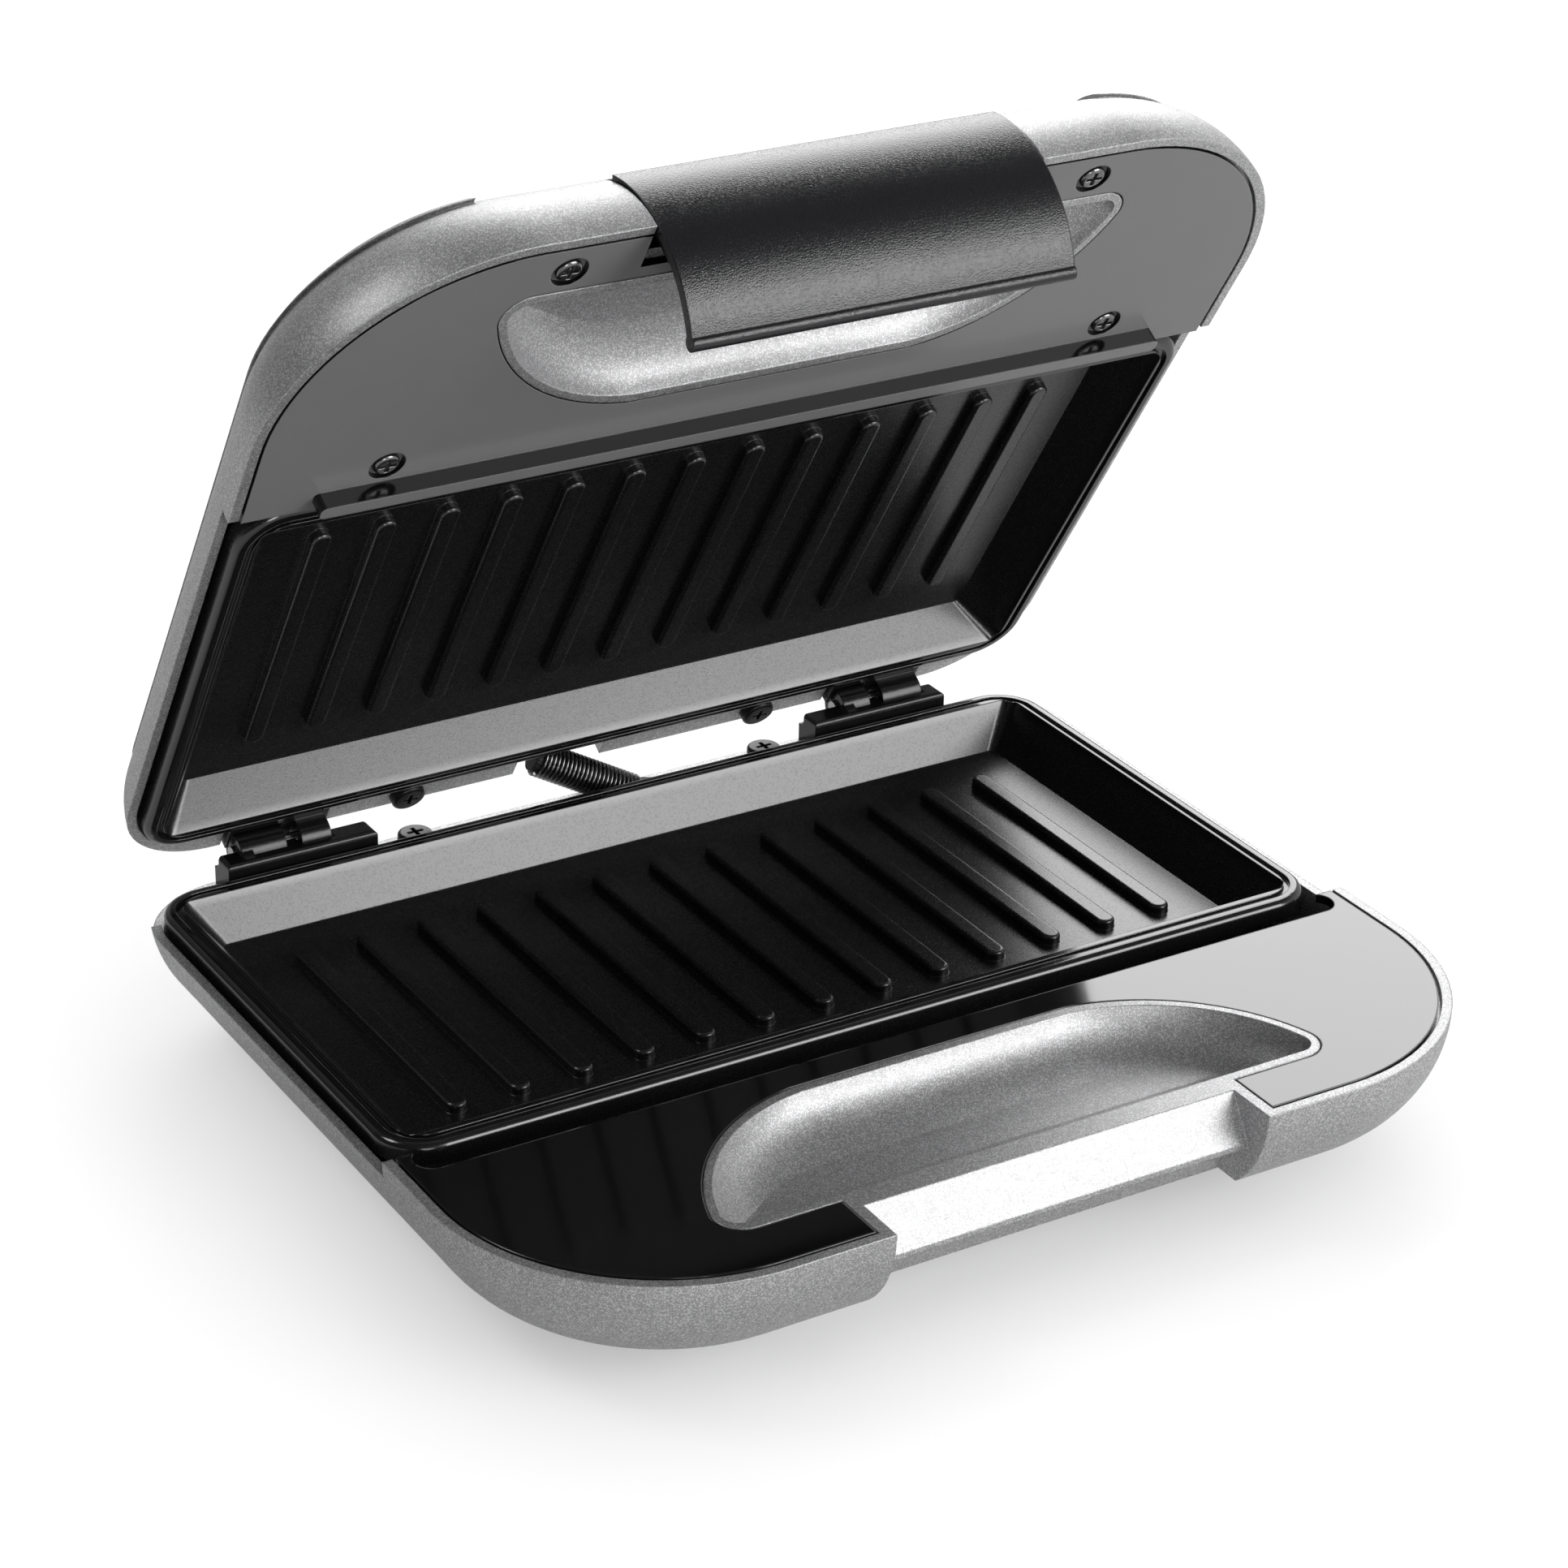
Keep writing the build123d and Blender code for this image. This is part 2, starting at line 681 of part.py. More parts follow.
def shoulders(outer):
    """The two raised sides of the lid's top."""
    raised = shell_form(lid_rim_level, lid_height, -shoulder_rise, 1) - outer
    high = lid_top + cut_over
    left = block(-shell_width, -shoulder_inner_x, shell_front_y - cut_over, shell_rear_y + cut_over,
                 shoulder_level, high)
    right = block(shoulder_inner_x, shell_width, shell_front_y - cut_over, shell_rear_y + cut_over,
                  shoulder_level, high)
    return (raised & left) + (raised & right)


def lid_slab_span(side, room):
    """The two ends along X of the low part of a lid bracket, with some room."""
    near = side * (inner_knuckle_near_x - lid_slab_margin - room)
    far = side * (outer_knuckle_far_x + lid_slab_margin + room)
    return sorted((near, far))


def hinge_notch(side):
    """The opening in the lid's rear edge where a hinge bracket sits."""
    x0, x1 = lid_slab_span(side, hinge_gap)
    low = lid_deck_level - cut_over
    return block(x0, x1, hinge_block_front_y, shell_rear_y + cut_over, low, lid_block_step)


def trim_blank(rear_y, arm_rear_y, arm_end_x, rim_level, toward):
    """A flat panel inside the housing's rim, from its rear edge to its arms."""
    low = min(rim_level, rim_level + toward * trim_thickness)
    high = low + trim_thickness
    blank = extrude(shell_section(trim_inset, 0, low), amount=trim_thickness)
    blank = blank & block(-shell_width, shell_width, shell_front_y, rear_y, low, high)
    moon = extrude(half_moon(-trim_gap, low - cut_over), amount=trim_thickness + 2 * cut_over)
    arms = block(-arm_end_x, arm_end_x, shell_front_y, arm_rear_y, low - cut_over, high + cut_over)
    bowl = scoop_form(rim_level, 0, scoop_depth + shell_wall, toward)
    return blank - moon - arms - bowl


def base_trim():
    """The gloss black panel around the lower scoop."""
    arm_end = lug_gap_half + lug_wall + trim_gap
    panel = trim_blank(trim_tab_rear_y, scoop_front_y + trim_gap, arm_end, base_rim_level, -1)
    low = base_rim_level - cut_over
    high = base_rim_level + cut_over
    middle_y = base_trim_rear_y + trim_notch_radius
    notch = SlotOverall(2 * trim_notch_half, 2 * trim_notch_radius)
    panel = panel - Pos(0, middle_y, low) * extrude(notch, amount=high - low)
    mouth = trim_notch_half - trim_notch_radius
    return main_solid(panel - block(-mouth, mouth, middle_y, trim_tab_rear_y + cut_over, low, high))


def lid_bar():
    """The raised bar of the lid panel that drops in front of the plate."""
    bar = block(-bar_half_length, bar_half_length, bar_front_y, bar_rear_y, lid_rim_level - bar_drop,
                lid_rim_level)
    return fillet(bar.edges().filter_by(Axis.Z), bar_end_round)


def lid_panel():
    """The gloss grey panel of the lid with its bar and screw recesses."""
    panel = trim_blank(lid_panel_rear_y, ridge_front_y, lug_gap_half, lid_rim_level, 1) + lid_bar()
    for x, y in panel_screw_places:
        seat = lid_rim_level + panel_recess_depth
        panel = panel - rod_z(x, y, lid_rim_level - cut_over, seat, panel_recess_diameter)
        panel = panel - rod_z(x, y, seat - cut_over, seat + cut_over, screw_hole)
    return main_solid(panel)


def grill_rib():
    """One raised rib with round ends and a rounded top."""
    rib = extrude(Rot(0, 0, 90) * SlotOverall(rib_length, rib_width), amount=rib_height)
    return fillet(rib.edges().group_by(Axis.Z)[-1], rib_round)


def grill_plate():
    """A cast plate with a sloped pan, rounded ribs and a grooved rim."""
    rim = rounded_block(plate_width, plate_depth, plate_corner_radius, -plate_rim_height, 0)
    rim = fillet(rim.edges().group_by(Axis.Z)[-1], plate_rim_round)
    top_x = plate_width - 2 * cavity_top_margin_x
    top_y = plate_depth - 2 * cavity_top_margin_y
    floor_x = plate_width - 2 * cavity_floor_margin_x
    floor_y = plate_depth - 2 * cavity_floor_margin_y
    cavity = loft([
        RectangleRounded(top_x, top_y, cavity_corner_radius),
        Pos(0, 0, -cavity_depth) * RectangleRounded(floor_x, floor_y, cavity_floor_radius),
    ])
    pan = loft([
        Pos(0, 0, -plate_wall) * RectangleRounded(top_x, top_y, cavity_corner_radius),
        Pos(0, 0, plate_bottom) * RectangleRounded(floor_x + plate_wall, floor_y + plate_wall,
                                                   cavity_floor_radius),
    ])
    plate = rim + pan
    for x, y in boss_places:
        plate = plate + rod_z(x, y, plate_bottom - plate_boss_length, -cavity_depth, plate_boss_diameter)
    plate = plate - cavity
    for x, y in boss_places:
        thread_top = plate_bottom + plate_wall / 2
        plate = plate - rod_z(x, y, plate_bottom - plate_boss_length - cut_over, thread_top, screw_hole)
    outer_inset = rim_groove_inset
    inner_inset = rim_groove_inset + rim_groove_width
    groove = RectangleRounded(
        plate_width - 2 * outer_inset, plate_depth - 2 * outer_inset, plate_corner_radius - outer_inset)
    groove = groove - RectangleRounded(
        plate_width - 2 * inner_inset, plate_depth - 2 * inner_inset, plate_corner_radius - inner_inset)
    plate = plate - Pos(0, 0, -rim_groove_depth) * extrude(groove, amount=cut_over)
    for index in range(rib_count):
        x = (index - (rib_count - 1) / 2) * rib_pitch
        plate = plate + Pos(x, 0, -cavity_depth) * grill_rib()
    return main_solid(plate)


def heating_element():
    """The bent tubular heater under a plate."""
    corners = [
        (-element_end_x, element_half_y, element_level),
        (-element_half_x, element_half_y, element_level),
        (-element_half_x, -element_half_y, element_level),
        (element_half_x, -element_half_y, element_level),
        (element_half_x, element_half_y, element_level),
        (element_end_x, element_half_y, element_level),
    ]
    path = FilletPolyline(*corners, radius=element_bend)
    section = Plane(origin=corners[0], z_dir=(-1, 0, 0)) * Circle(element_diameter / 2)
    return sweep(section, path=path)


def element_clips():
    """Saddle clips that hold the heater against its plate."""
    clips = []
    near = (element_diameter + element_gap) / 2
    leg = plate_bottom - element_level
    half = clip_width / 2
    for x, y in ((-element_half_x, 0), (element_half_x, 0), (0, -element_half_y)):
        ring = Cylinder(near + clip_thickness, clip_width) - Cylinder(near, clip_width)
        lower = Pos(0, -2 * near, 0) * Box(4 * near, 4 * near, clip_width)
        clip = Rot(90, 0, 0) * (ring & lower)
        for side in (-1, 1):
            outer = near + clip_thickness
            tip = outer + clip_wing
            legs = sorted((side * near, side * outer))
            wing = sorted((side * near, side * tip))
            clip = clip + block(legs[0], legs[1], -half, half, 0, leg)
            clip = clip + block(wing[0], wing[1], -half, half, leg - clip_thickness, leg)
        if x == 0:
            clip = Rot(0, 0, 90) * clip
        clips.append(Pos(x, y, element_level) * main_solid(clip))
    return Compound(children=clips)


def heat_shield():
    """The thin bright sheet between the heater and the housing."""
    width = plate_width - 2 * shield_side_inset
    depth = plate_depth - 2 * shield_end_inset
    sheet = rounded_block(width, depth, shield_corner, shield_top - shield_thickness, shield_top)
    for x, y in boss_places:
        hole = shield_post_diameter + 2 * shield_post_fit
        sheet = sheet - rod_z(x, y, shield_top - cut_over, shield_top + cut_over, hole)
    return sheet


def cross_cut(z0, z1):
    """The cross recess of a screw head."""
    depth = z1 - z0
    middle = Pos(0, 0, (z0 + z1) / 2)
    return middle * (Box(cross_length, cross_width, depth) + Box(cross_width, cross_length, depth))


def pan_screw(diameter, head, length):
    """A pan head screw, head up, with its seat at level zero."""
    cap = Pos(0, 0, head / 2) * Cylinder(diameter / 2, head)
    cap = fillet(cap.edges().group_by(Axis.Z)[-1], screw_head_round)
    shank = Pos(0, 0, -length / 2) * Cylinder(screw_diameter / 2, length)
    return cap + shank - cross_cut(head - cross_depth, head + cut_over)


def screw_set(screw, places, turned):
    """A group of equal screws set at their places, head down when turned."""
    turn = Rot(180, 0, 0) if turned else Rot(0, 0, 0)
    return Compound(children=[Pos(*spot) * turn * screw for spot in places])


def deck_screws():
    """The two black screws on a rear deck, head up."""
    screw = pan_screw(deck_head_diameter, screw_head_height, deck_boss_depth - screw_head_round)
    places = [(x, deck_screw_y, deck_level) for x in (-deck_screw_x, deck_screw_x)]
    return screw_set(screw, places, False)


def lid_deck_screws():
    """The two black screws on the lid's rear deck, head down."""
    screw = pan_screw(deck_head_diameter, screw_head_height, deck_boss_depth - screw_head_round)
    places = [(x, deck_screw_y, lid_deck_level) for x in (-deck_screw_x, deck_screw_x)]
    return screw_set(screw, places, True)


def panel_screws():
    """The four screws that hold the lid panel."""
    screw = pan_screw(panel_head_diameter, panel_head_height, panel_screw_length - screw_head_round)
    seat = lid_rim_level + panel_recess_depth
    return screw_set(screw, [(x, y, seat) for x, y in panel_screw_places], True)


def bottom_screws():
    """The long screws that draw the lower plate to the base."""
    seat = base_bottom + bottom_recess_depth
    length = plate_bottom - seat
    screw = pan_screw(screw_head_diameter, screw_head_height, length)
    return screw_set(screw, [(x, y, seat) for x, y in boss_places], True)


def lid_plate_screws():
    """The screws that draw the upper plate to the lid."""
    top = lid_top - shell_wall
    low = closed_gap - plate_bottom
    rods = [rod_z(x, y, low, top, screw_diameter) for x, y in boss_places]
    return Compound(children=rods)


def hinge_screw_xs():
    """Places along X of the screws under the hinge brackets."""
    near = hinge_inner_x + hinge_screw_inset
    far = hinge_outer_x - hinge_screw_inset
    return [-far, -near, near, far]


def hinge_screws():
    """The screws that hold the lower hinge brackets to the deck."""
    seat = deck_level - deck_thickness
    length = deck_thickness + hinge_screw_depth
    screw = pan_screw(hinge_screw_head_diameter, screw_head_height, length)
    return screw_set(screw, [(x, hinge_screw_y, seat) for x in hinge_screw_xs()], True)


def foot():
    """A push-in rubber foot with its barbed neck."""
    top = base_bottom + foot_recess_depth
    pad = Pos(0, 0, (top - parting_height) / 2) * Cylinder(foot_diameter / 2, top + parting_height)
    pad = fillet(pad.edges().group_by(Axis.Z)[0], foot_edge)
    neck = rod_z(0, 0, top, base_floor + foot_neck_fit, foot_neck_diameter)
    barb = Pos(0, 0, base_floor + foot_neck_fit + foot_barb_height / 2) * Cone(
        foot_barb_diameter / 2, foot_neck_diameter / 2, foot_barb_height)
    return pad + neck + barb


def knuckle_span(side, outer):
    """The two ends along X of a hinge knuckle, left to right."""
    near = outer_knuckle_near_x if outer else inner_knuckle_near_x
    far = outer_knuckle_far_x if outer else inner_knuckle_far_x
    return sorted((side * near, side * far))


def hinge_pin(side):
    """The pin through both knuckles of one hinge."""
    own = knuckle_span(side, side < 0)
    other = knuckle_span(side, side > 0)
    return rod_x(own[0] - hinge_pin_end, other[1], hinge_y, hinge_level, hinge_pin_diameter)


def base_hinge(side):
    """A lower hinge bracket: block, gusset and one knuckle."""
    x0, x1 = sorted((side * hinge_inner_x, side * hinge_outer_x))
    body = block(x0, x1, hinge_block_front_y, hinge_block_rear_y, deck_level, hinge_block_top)
    body = fillet(body.edges().group_by(Axis.Z)[-1], hinge_block_round)
    own = knuckle_span(side, side < 0)
    other = knuckle_span(side, side > 0)
    room = 2 * (knuckle_radius + hinge_gap)
    body = body - rod_x(other[0] - hinge_gap, other[1] + hinge_gap, hinge_y, hinge_level, room)
    body = body + rod_x(own[0], own[1], hinge_y, hinge_level, 2 * knuckle_radius)
    foot_z = hinge_block_top - hinge_block_round
    peak = (hinge_y, hinge_level + knuckle_radius - gusset_drop)
    points = [(gusset_front_y, foot_z), (gusset_front_y, hinge_block_top), peak, (hinge_y, foot_z)]
    body = body + profile_x(points, own[0], own[0] + gusset_thickness)
    body = body - rod_x(x0 - cut_over, x1 + cut_over, hinge_y, hinge_level, pin_bore)
    hole_top = deck_level + hinge_screw_depth
    for x in hinge_screw_xs():
        body = body - rod_z(x, hinge_screw_y, deck_level - cut_over, hole_top, screw_hole)
    return main_solid(body)


def lid_hinge(side):
    """An upper hinge bracket with the other knuckle."""
    x0, x1 = sorted((side * hinge_inner_x, side * hinge_outer_x))
    low_x0, low_x1 = lid_slab_span(side, 0)
    own = knuckle_span(side, side > 0)
    other = knuckle_span(side, side < 0)
    body = block(low_x0, low_x1, hinge_block_front_y, lid_block_rear_y, lid_block_low, lid_block_step)
    body = body + block(
        x0, x1, hinge_block_front_y, shell_rear_y - 2 * shell_wall, lid_block_step, lid_block_high)
    body = body + rod_x(own[0], own[1], hinge_y, hinge_level, 2 * knuckle_radius)
    body = body + block(
        own[0], own[1], hinge_y - knuckle_radius, lid_block_rear_y, hinge_level, lid_block_low + hinge_gap)
    room = 2 * (knuckle_radius + hinge_gap)
    body = body - rod_x(other[0] - hinge_gap, other[1] + hinge_gap, hinge_y, hinge_level, room)
    body = body - rod_x(x0 - cut_over, x1 + cut_over, hinge_y, hinge_level, pin_bore)
    return main_solid(body)


def arc_point(radius, angle):
    """A point (x = 0) on the latch cover's arc."""
    turn = math.radians(angle)
    return (0, latch_arc_y - radius * math.cos(turn), closed_gap + radius * math.sin(turn))


def arc_band(outer_radius, inner_radius, low_angle, high_angle, x0, x1):
    """A curved band along X between two radii of the latch cover's arc."""
    middle = (low_angle + high_angle) / 2
    outer = ThreePointArc(*[arc_point(outer_radius, angle) for angle in (low_angle, middle, high_angle)])
    inner = ThreePointArc(*[arc_point(inner_radius, angle) for angle in (low_angle, middle, high_angle)])
    low = Line(inner @ 0, outer @ 0)
    high = Line(outer @ 1, inner @ 1)
    band = extrude(make_face([outer, high, inner, low]), amount=x1 - x0, dir=(1, 0, 0))
    return Pos(x0, 0, 0) * band


def latch_cover():
    """The curved latch with bead, side webs, ears and two hooks."""
    half = latch_half_width
    cover = arc_band(latch_arc_radius, latch_inner_radius, latch_bottom_angle, latch_top_angle, -half, half)
    bead = arc_point(latch_inner_radius + latch_thickness / 2, latch_bottom_angle)
    cover = cover + rod_x(-half, half, bead[1], bead[2], latch_bead_diameter)
    for side in (-1, 1):
        x0, x1 = sorted((side * latch_ear_outer_x, side * (latch_ear_outer_x - latch_ear_thickness)))
        web = arc_band(latch_inner_radius + latch_thickness / 2, latch_inner_radius - latch_web_depth,
                       latch_web_angle, latch_top_angle, x0, x1)
        ear = rod_x(x0, x1, latch_pivot_y, latch_pivot_level, 2 * latch_ear_radius)
        cover = cover + web + ear
        hook_top = lip_level - lip_thickness - latch_hook_gap
        root_y = latch_arc_y - latch_arc_radius + 2 * latch_thickness
        x = side * latch_hook_x
        hook = block(x - latch_hook_width / 2, x + latch_hook_width / 2, root_y - latch_thickness,
                     latch_hook_reach_y, hook_top - latch_hook_height, hook_top)
        inside = Pos(x, latch_arc_y, closed_gap) * Rot(0, 90, 0) * Cylinder(
            latch_arc_radius - latch_thickness / 2, latch_hook_width)
        cover = cover + (hook & inside)
    bore = latch_axle_diameter + 2 * latch_axle_fit
    return cover - rod_x(-2 * half, 2 * half, latch_pivot_y, latch_pivot_level, bore)


def latch_bracket():
    """The carrier inside the lid with two ears for the latch's axle."""
    top = lid_top - shell_wall
    rear = bracket_plate_y + bracket_thickness
    half = bracket_half_width
    inner_x = latch_ear_outer_x - latch_ear_thickness - latch_side_gap - bracket_thickness
    body = block(-inner_x - bracket_thickness, inner_x + bracket_thickness, bracket_plate_y, rear,
                 bracket_low_level, top)
    body = body + block(-half, half, bracket_plate_y, bracket_plate_y + bracket_flange_depth,
                        top - bracket_thickness, top)
    body = body & shell_form(lid_rim_level, lid_height, shell_wall, 1)
    for side in (-1, 1):
        x0, x1 = sorted((side * inner_x, side * (inner_x + bracket_thickness)))
        ear = rod_x(x0, x1, latch_pivot_y, latch_pivot_level, 2 * bracket_ear_radius)
        arm = block(x0, x1, latch_pivot_y, bracket_plate_y, latch_pivot_level - latch_axle_diameter,
                    latch_pivot_level + bracket_ear_radius)
        body = body + ear + arm
    bore = latch_axle_diameter + 2 * latch_axle_fit
    body = body - rod_x(-half, half, latch_pivot_y, latch_pivot_level, bore)
    return body


def latch_axle():
    """The steel axle that carries the latch."""
    return rod_x(-latch_ear_outer_x, latch_ear_outer_x, latch_pivot_y, latch_pivot_level, latch_axle_diameter)


def lamp_xs():
    """Places along X of the two lamps."""
    return [-lamp_spacing / 2, lamp_spacing / 2]


def lamp_lens(x):
    """A small round lens in the lid's top."""
    top = lid_top - shell_wall
    stem = rod_z(x, lamp_y, top, lid_top + lamp_proud, lamp_diameter)
    stem = fillet(stem.edges().group_by(Axis.Z)[-1], lamp_proud / 2)
    return stem + rod_z(x, lamp_y, top - lamp_flange_height, top, lamp_flange_diameter)


def lamp_holder():
    """The block inside the lid that holds both lamps."""
    top = lid_top - shell_wall
    body = block(-lamp_holder_width / 2, lamp_holder_width / 2, lamp_y - lamp_holder_depth / 2,
                 lamp_y + lamp_holder_depth / 2, top - lamp_holder_height, top)
    for x in lamp_xs():
        body = body - rod_z(x, lamp_y, top - lamp_flange_height, top + cut_over,
                            lamp_flange_diameter + 2 * lamp_fit)
        body = body - rod_z(x, lamp_y, top - lamp_holder_height - cut_over, top + cut_over, lamp_bore)
    return body


def thermostat():
    """The disc thermostat under the lower plate."""
    body = rod_z(thermostat_x, 0, plate_bottom - thermostat_height, plate_bottom, thermostat_diameter)
    for side in (-1, 1):
        y0, y1 = sorted((side * thermostat_diameter / 4, side * (thermostat_diameter / 2 + thermostat_tab)))
        body = body + block(
            thermostat_x - thermostat_tab / 2, thermostat_x + thermostat_tab / 2, y0, y1,
            plate_bottom - clip_thickness, plate_bottom)
    return body


def thermal_fuse():
    """The sleeved thermal fuse beside the thermostat."""
    level = plate_bottom - fuse_diameter / 2
    body = rod_x(fuse_x - fuse_length / 2, fuse_x + fuse_length / 2, 0, level, fuse_diameter)
    reach = fuse_length / 2 + fuse_lead_length
    return body + rod_x(fuse_x - reach, fuse_x + reach, 0, level, fuse_lead_diameter)


def terminal_block():
    """The terminal block on the base's floor."""
    half = terminal_length / 2
    body = block(terminal_x - half, terminal_x + half, terminal_y - terminal_width / 2,
                 terminal_y + terminal_width / 2, base_floor, base_floor + terminal_height)
    pitch = terminal_length / terminal_ways
    for index in range(terminal_ways):
        x = terminal_x + (index - (terminal_ways - 1) / 2) * pitch
        hole = Rot(90, 0, 0) * Cylinder(terminal_bore / 2, terminal_width + cut_over)
        body = body - Pos(x, terminal_y, base_floor + terminal_height / 2) * hole
    return body


def cord_inlet():
    """The flanged bushing in the rear wall where the cord enters."""
    neck_end = shell_rear_y - shell_rear_bulge - shell_wall
    face = inlet_face_y()
    neck = Pos(inlet_x, (neck_end + face) / 2, inlet_level) * Rot(90, 0, 0) * Cylinder(
        inlet_neck_diameter / 2, face - neck_end)
    flange = Pos(inlet_x, face + inlet_flange / 2, inlet_level) * Rot(90, 0, 0) * Cylinder(
        inlet_flange_diameter / 2, inlet_flange)
    bore = Pos(inlet_x, face, inlet_level) * Rot(90, 0, 0) * Cylinder(inlet_bore / 2, 4 * shell_rear_bulge)
    return neck + flange - bore


def inlet_face_y():
    """Where the rear wall stands farthest back beside the cord inlet."""
    top = inlet_level + inlet_flange_diameter / 2
    share = (base_rim_level - top) / base_depth
    lean = 1 - math.sqrt(1 - share * share)
    return shell_rear_y - shell_rear_bulge * lean + inlet_fit


def biarc(start, start_heading, end, end_heading):
    """Two arcs that meet smoothly between two points with given headings."""
    chord = end - start
    both = start_heading + end_heading
    bend = 2 * (1 - start_heading.dot(end_heading))
    reach = (math.sqrt(chord.dot(both) ** 2 + bend * chord.dot(chord)) - chord.dot(both)) / bend
    first_corner = start + start_heading * reach
    last_corner = end - end_heading * reach
    middle = (first_corner + last_corner) / 2
    heading = (last_corner - first_corner).normalized()
    return [Edge.make_tangent_arc(start, start_heading, middle), Edge.make_tangent_arc(middle, heading, end)]


def helix_spot(radius, pitch, angle):
    """A point of a helix about Z."""
    return Vector(radius * math.cos(angle), radius * math.sin(angle), pitch * angle / (2 * math.pi))


def helix_heading(radius, pitch, angle):
    """The direction of a helix about Z at an angle."""
    climb = pitch / (2 * math.pi)
    return Vector(-radius * math.sin(angle), radius * math.cos(angle), climb).normalized()


def helix_least_gap(radius, wire, pitch, turns):
    """The least gap of a helix to itself, measured on points."""
    steps = 12
    spots = [helix_spot(radius, pitch, 2 * math.pi * index / steps) for index in range(turns * steps + 1)]
    least = turns * pitch
    for index, spot in enumerate(spots):
        for other in spots[index + steps // 2:]:
            least = min(least, (other - spot).length)
    return least - wire


def helix_tube(diameter, wire, pitch, turns, leg):
    """A wire wound about Z with a straight stretch at each end."""
    radius = (diameter - wire) / 2
    quarter = math.pi / 2
    edges = []
    for index in range(4 * turns):
        near = index * quarter
        far = near + quarter
        edges += biarc(helix_spot(radius, pitch, near), helix_heading(radius, pitch, near),
                       helix_spot(radius, pitch, far), helix_heading(radius, pitch, far))
    last = turns * 2 * math.pi
    first_spot = helix_spot(radius, pitch, 0)
    last_spot = helix_spot(radius, pitch, last)
    lead = Edge.make_line(first_spot - helix_heading(radius, pitch, 0) * leg, first_spot)
    tail = Edge.make_line(last_spot, last_spot + helix_heading(radius, pitch, last) * leg)
    path = Wire([lead] + edges + [tail])
    section = Plane(origin=path @ 0, z_dir=path % 0) * Circle(wire / 2)
    return sweep(section, path=path)


def conduit_spring():
    """The steel spring conduit, one helix with short straight ends."""
    spring = helix_tube(conduit_diameter, conduit_wire, conduit_pitch, conduit_turns, conduit_wire)
    radius = (conduit_diameter - conduit_wire) / 2
    gap = helix_least_gap(radius, conduit_wire, conduit_pitch, conduit_turns)
    print("least gap of the conduit to itself", round(gap, 3), "mm")
    middle = Vector(conduit_middle_x, conduit_middle_y, conduit_middle_level)
    start = middle - conduit_axis() * (conduit_pitch * conduit_turns / 2)
    return Plane(origin=start, z_dir=conduit_axis()) * spring


def latch_springs():
    """The two small springs on the axle that press the latch shut."""
    spring = helix_tube(latch_spring_diameter, latch_spring_wire, latch_spring_pitch, latch_spring_turns,
                        latch_spring_leg)
    length = latch_spring_pitch * latch_spring_turns
    coils = []
    for x in (-latch_spring_x, latch_spring_x):
        coils.append(Pos(x - length / 2, latch_pivot_y, latch_pivot_level) * Rot(0, 90, 0) * spring)
    return Compound(children=coils)


def build():
    """All sub-parts by node name, in the frame."""
    parts = {
        "lower_housing": place(base_shell()),
        "lower_trim_panel": place(base_trim()),
        "lower_grill_plate": place(grill_plate()),
        "lower_heating_element": place(heating_element()),
        "lower_element_clips": place(element_clips()),
        "lower_heat_shield": place(heat_shield()),
        "plate_screws": place(bottom_screws()),
        "rear_deck_screws": place(deck_screws()),
        "hinge_screws": place(hinge_screws()),
        "thermostat": place(thermostat()),
        "thermal_fuse": place(thermal_fuse()),
        "terminal_block": place(terminal_block()),
        "cord_inlet": place(cord_inlet()),
        "spring_conduit": place(conduit_spring()),
        "upper_housing": place_open(lid_shell()),
        "upper_inner_panel": place_open(lid_panel()),
        "upper_grill_plate": place_open(upside_down(grill_plate())),
        "upper_heating_element": place_open(upside_down(heating_element())),
        "upper_element_clips": place_open(upside_down(element_clips())),
        "upper_heat_shield": place_open(upside_down(heat_shield())),
        "panel_screws": place_open(panel_screws()),
        "upper_plate_screws": place_open(lid_plate_screws()),
        "lid_deck_screws": place_open(lid_deck_screws()),
        "lamp_holder": place_open(lamp_holder()),
        "power_lamp": place_open(lamp_lens(lamp_xs()[0])),
        "ready_lamp": place_open(lamp_lens(lamp_xs()[1])),
        "latch_bracket": place_open(latch_bracket()),
        "latch_axle": place_open(latch_axle()),
        "latch_springs": place_open(latch_springs()),
        "latch_cover": place_open(latch_cover()),
    }
    for name, side in (("left", -1), ("right", 1)):
        parts["lower_hinge_" + name] = place(base_hinge(side))
        parts["upper_hinge_" + name] = place_open(lid_hinge(side))
        parts["hinge_pin_" + name] = place(hinge_pin(side))
    corner_names = ("front_left", "rear_left", "front_right", "rear_right")
    for name, (x, y) in zip(corner_names, foot_places):
        parts["foot_" + name] = place(Pos(x, y, 0) * foot())
    return parts


os.makedirs("parts", exist_ok=True)
for node, shape in build().items():
    export_step(shape, "parts/" + node + ".step")
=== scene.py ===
import json
import math

import bpy
from mathutils import Matrix, Quaternion, Vector


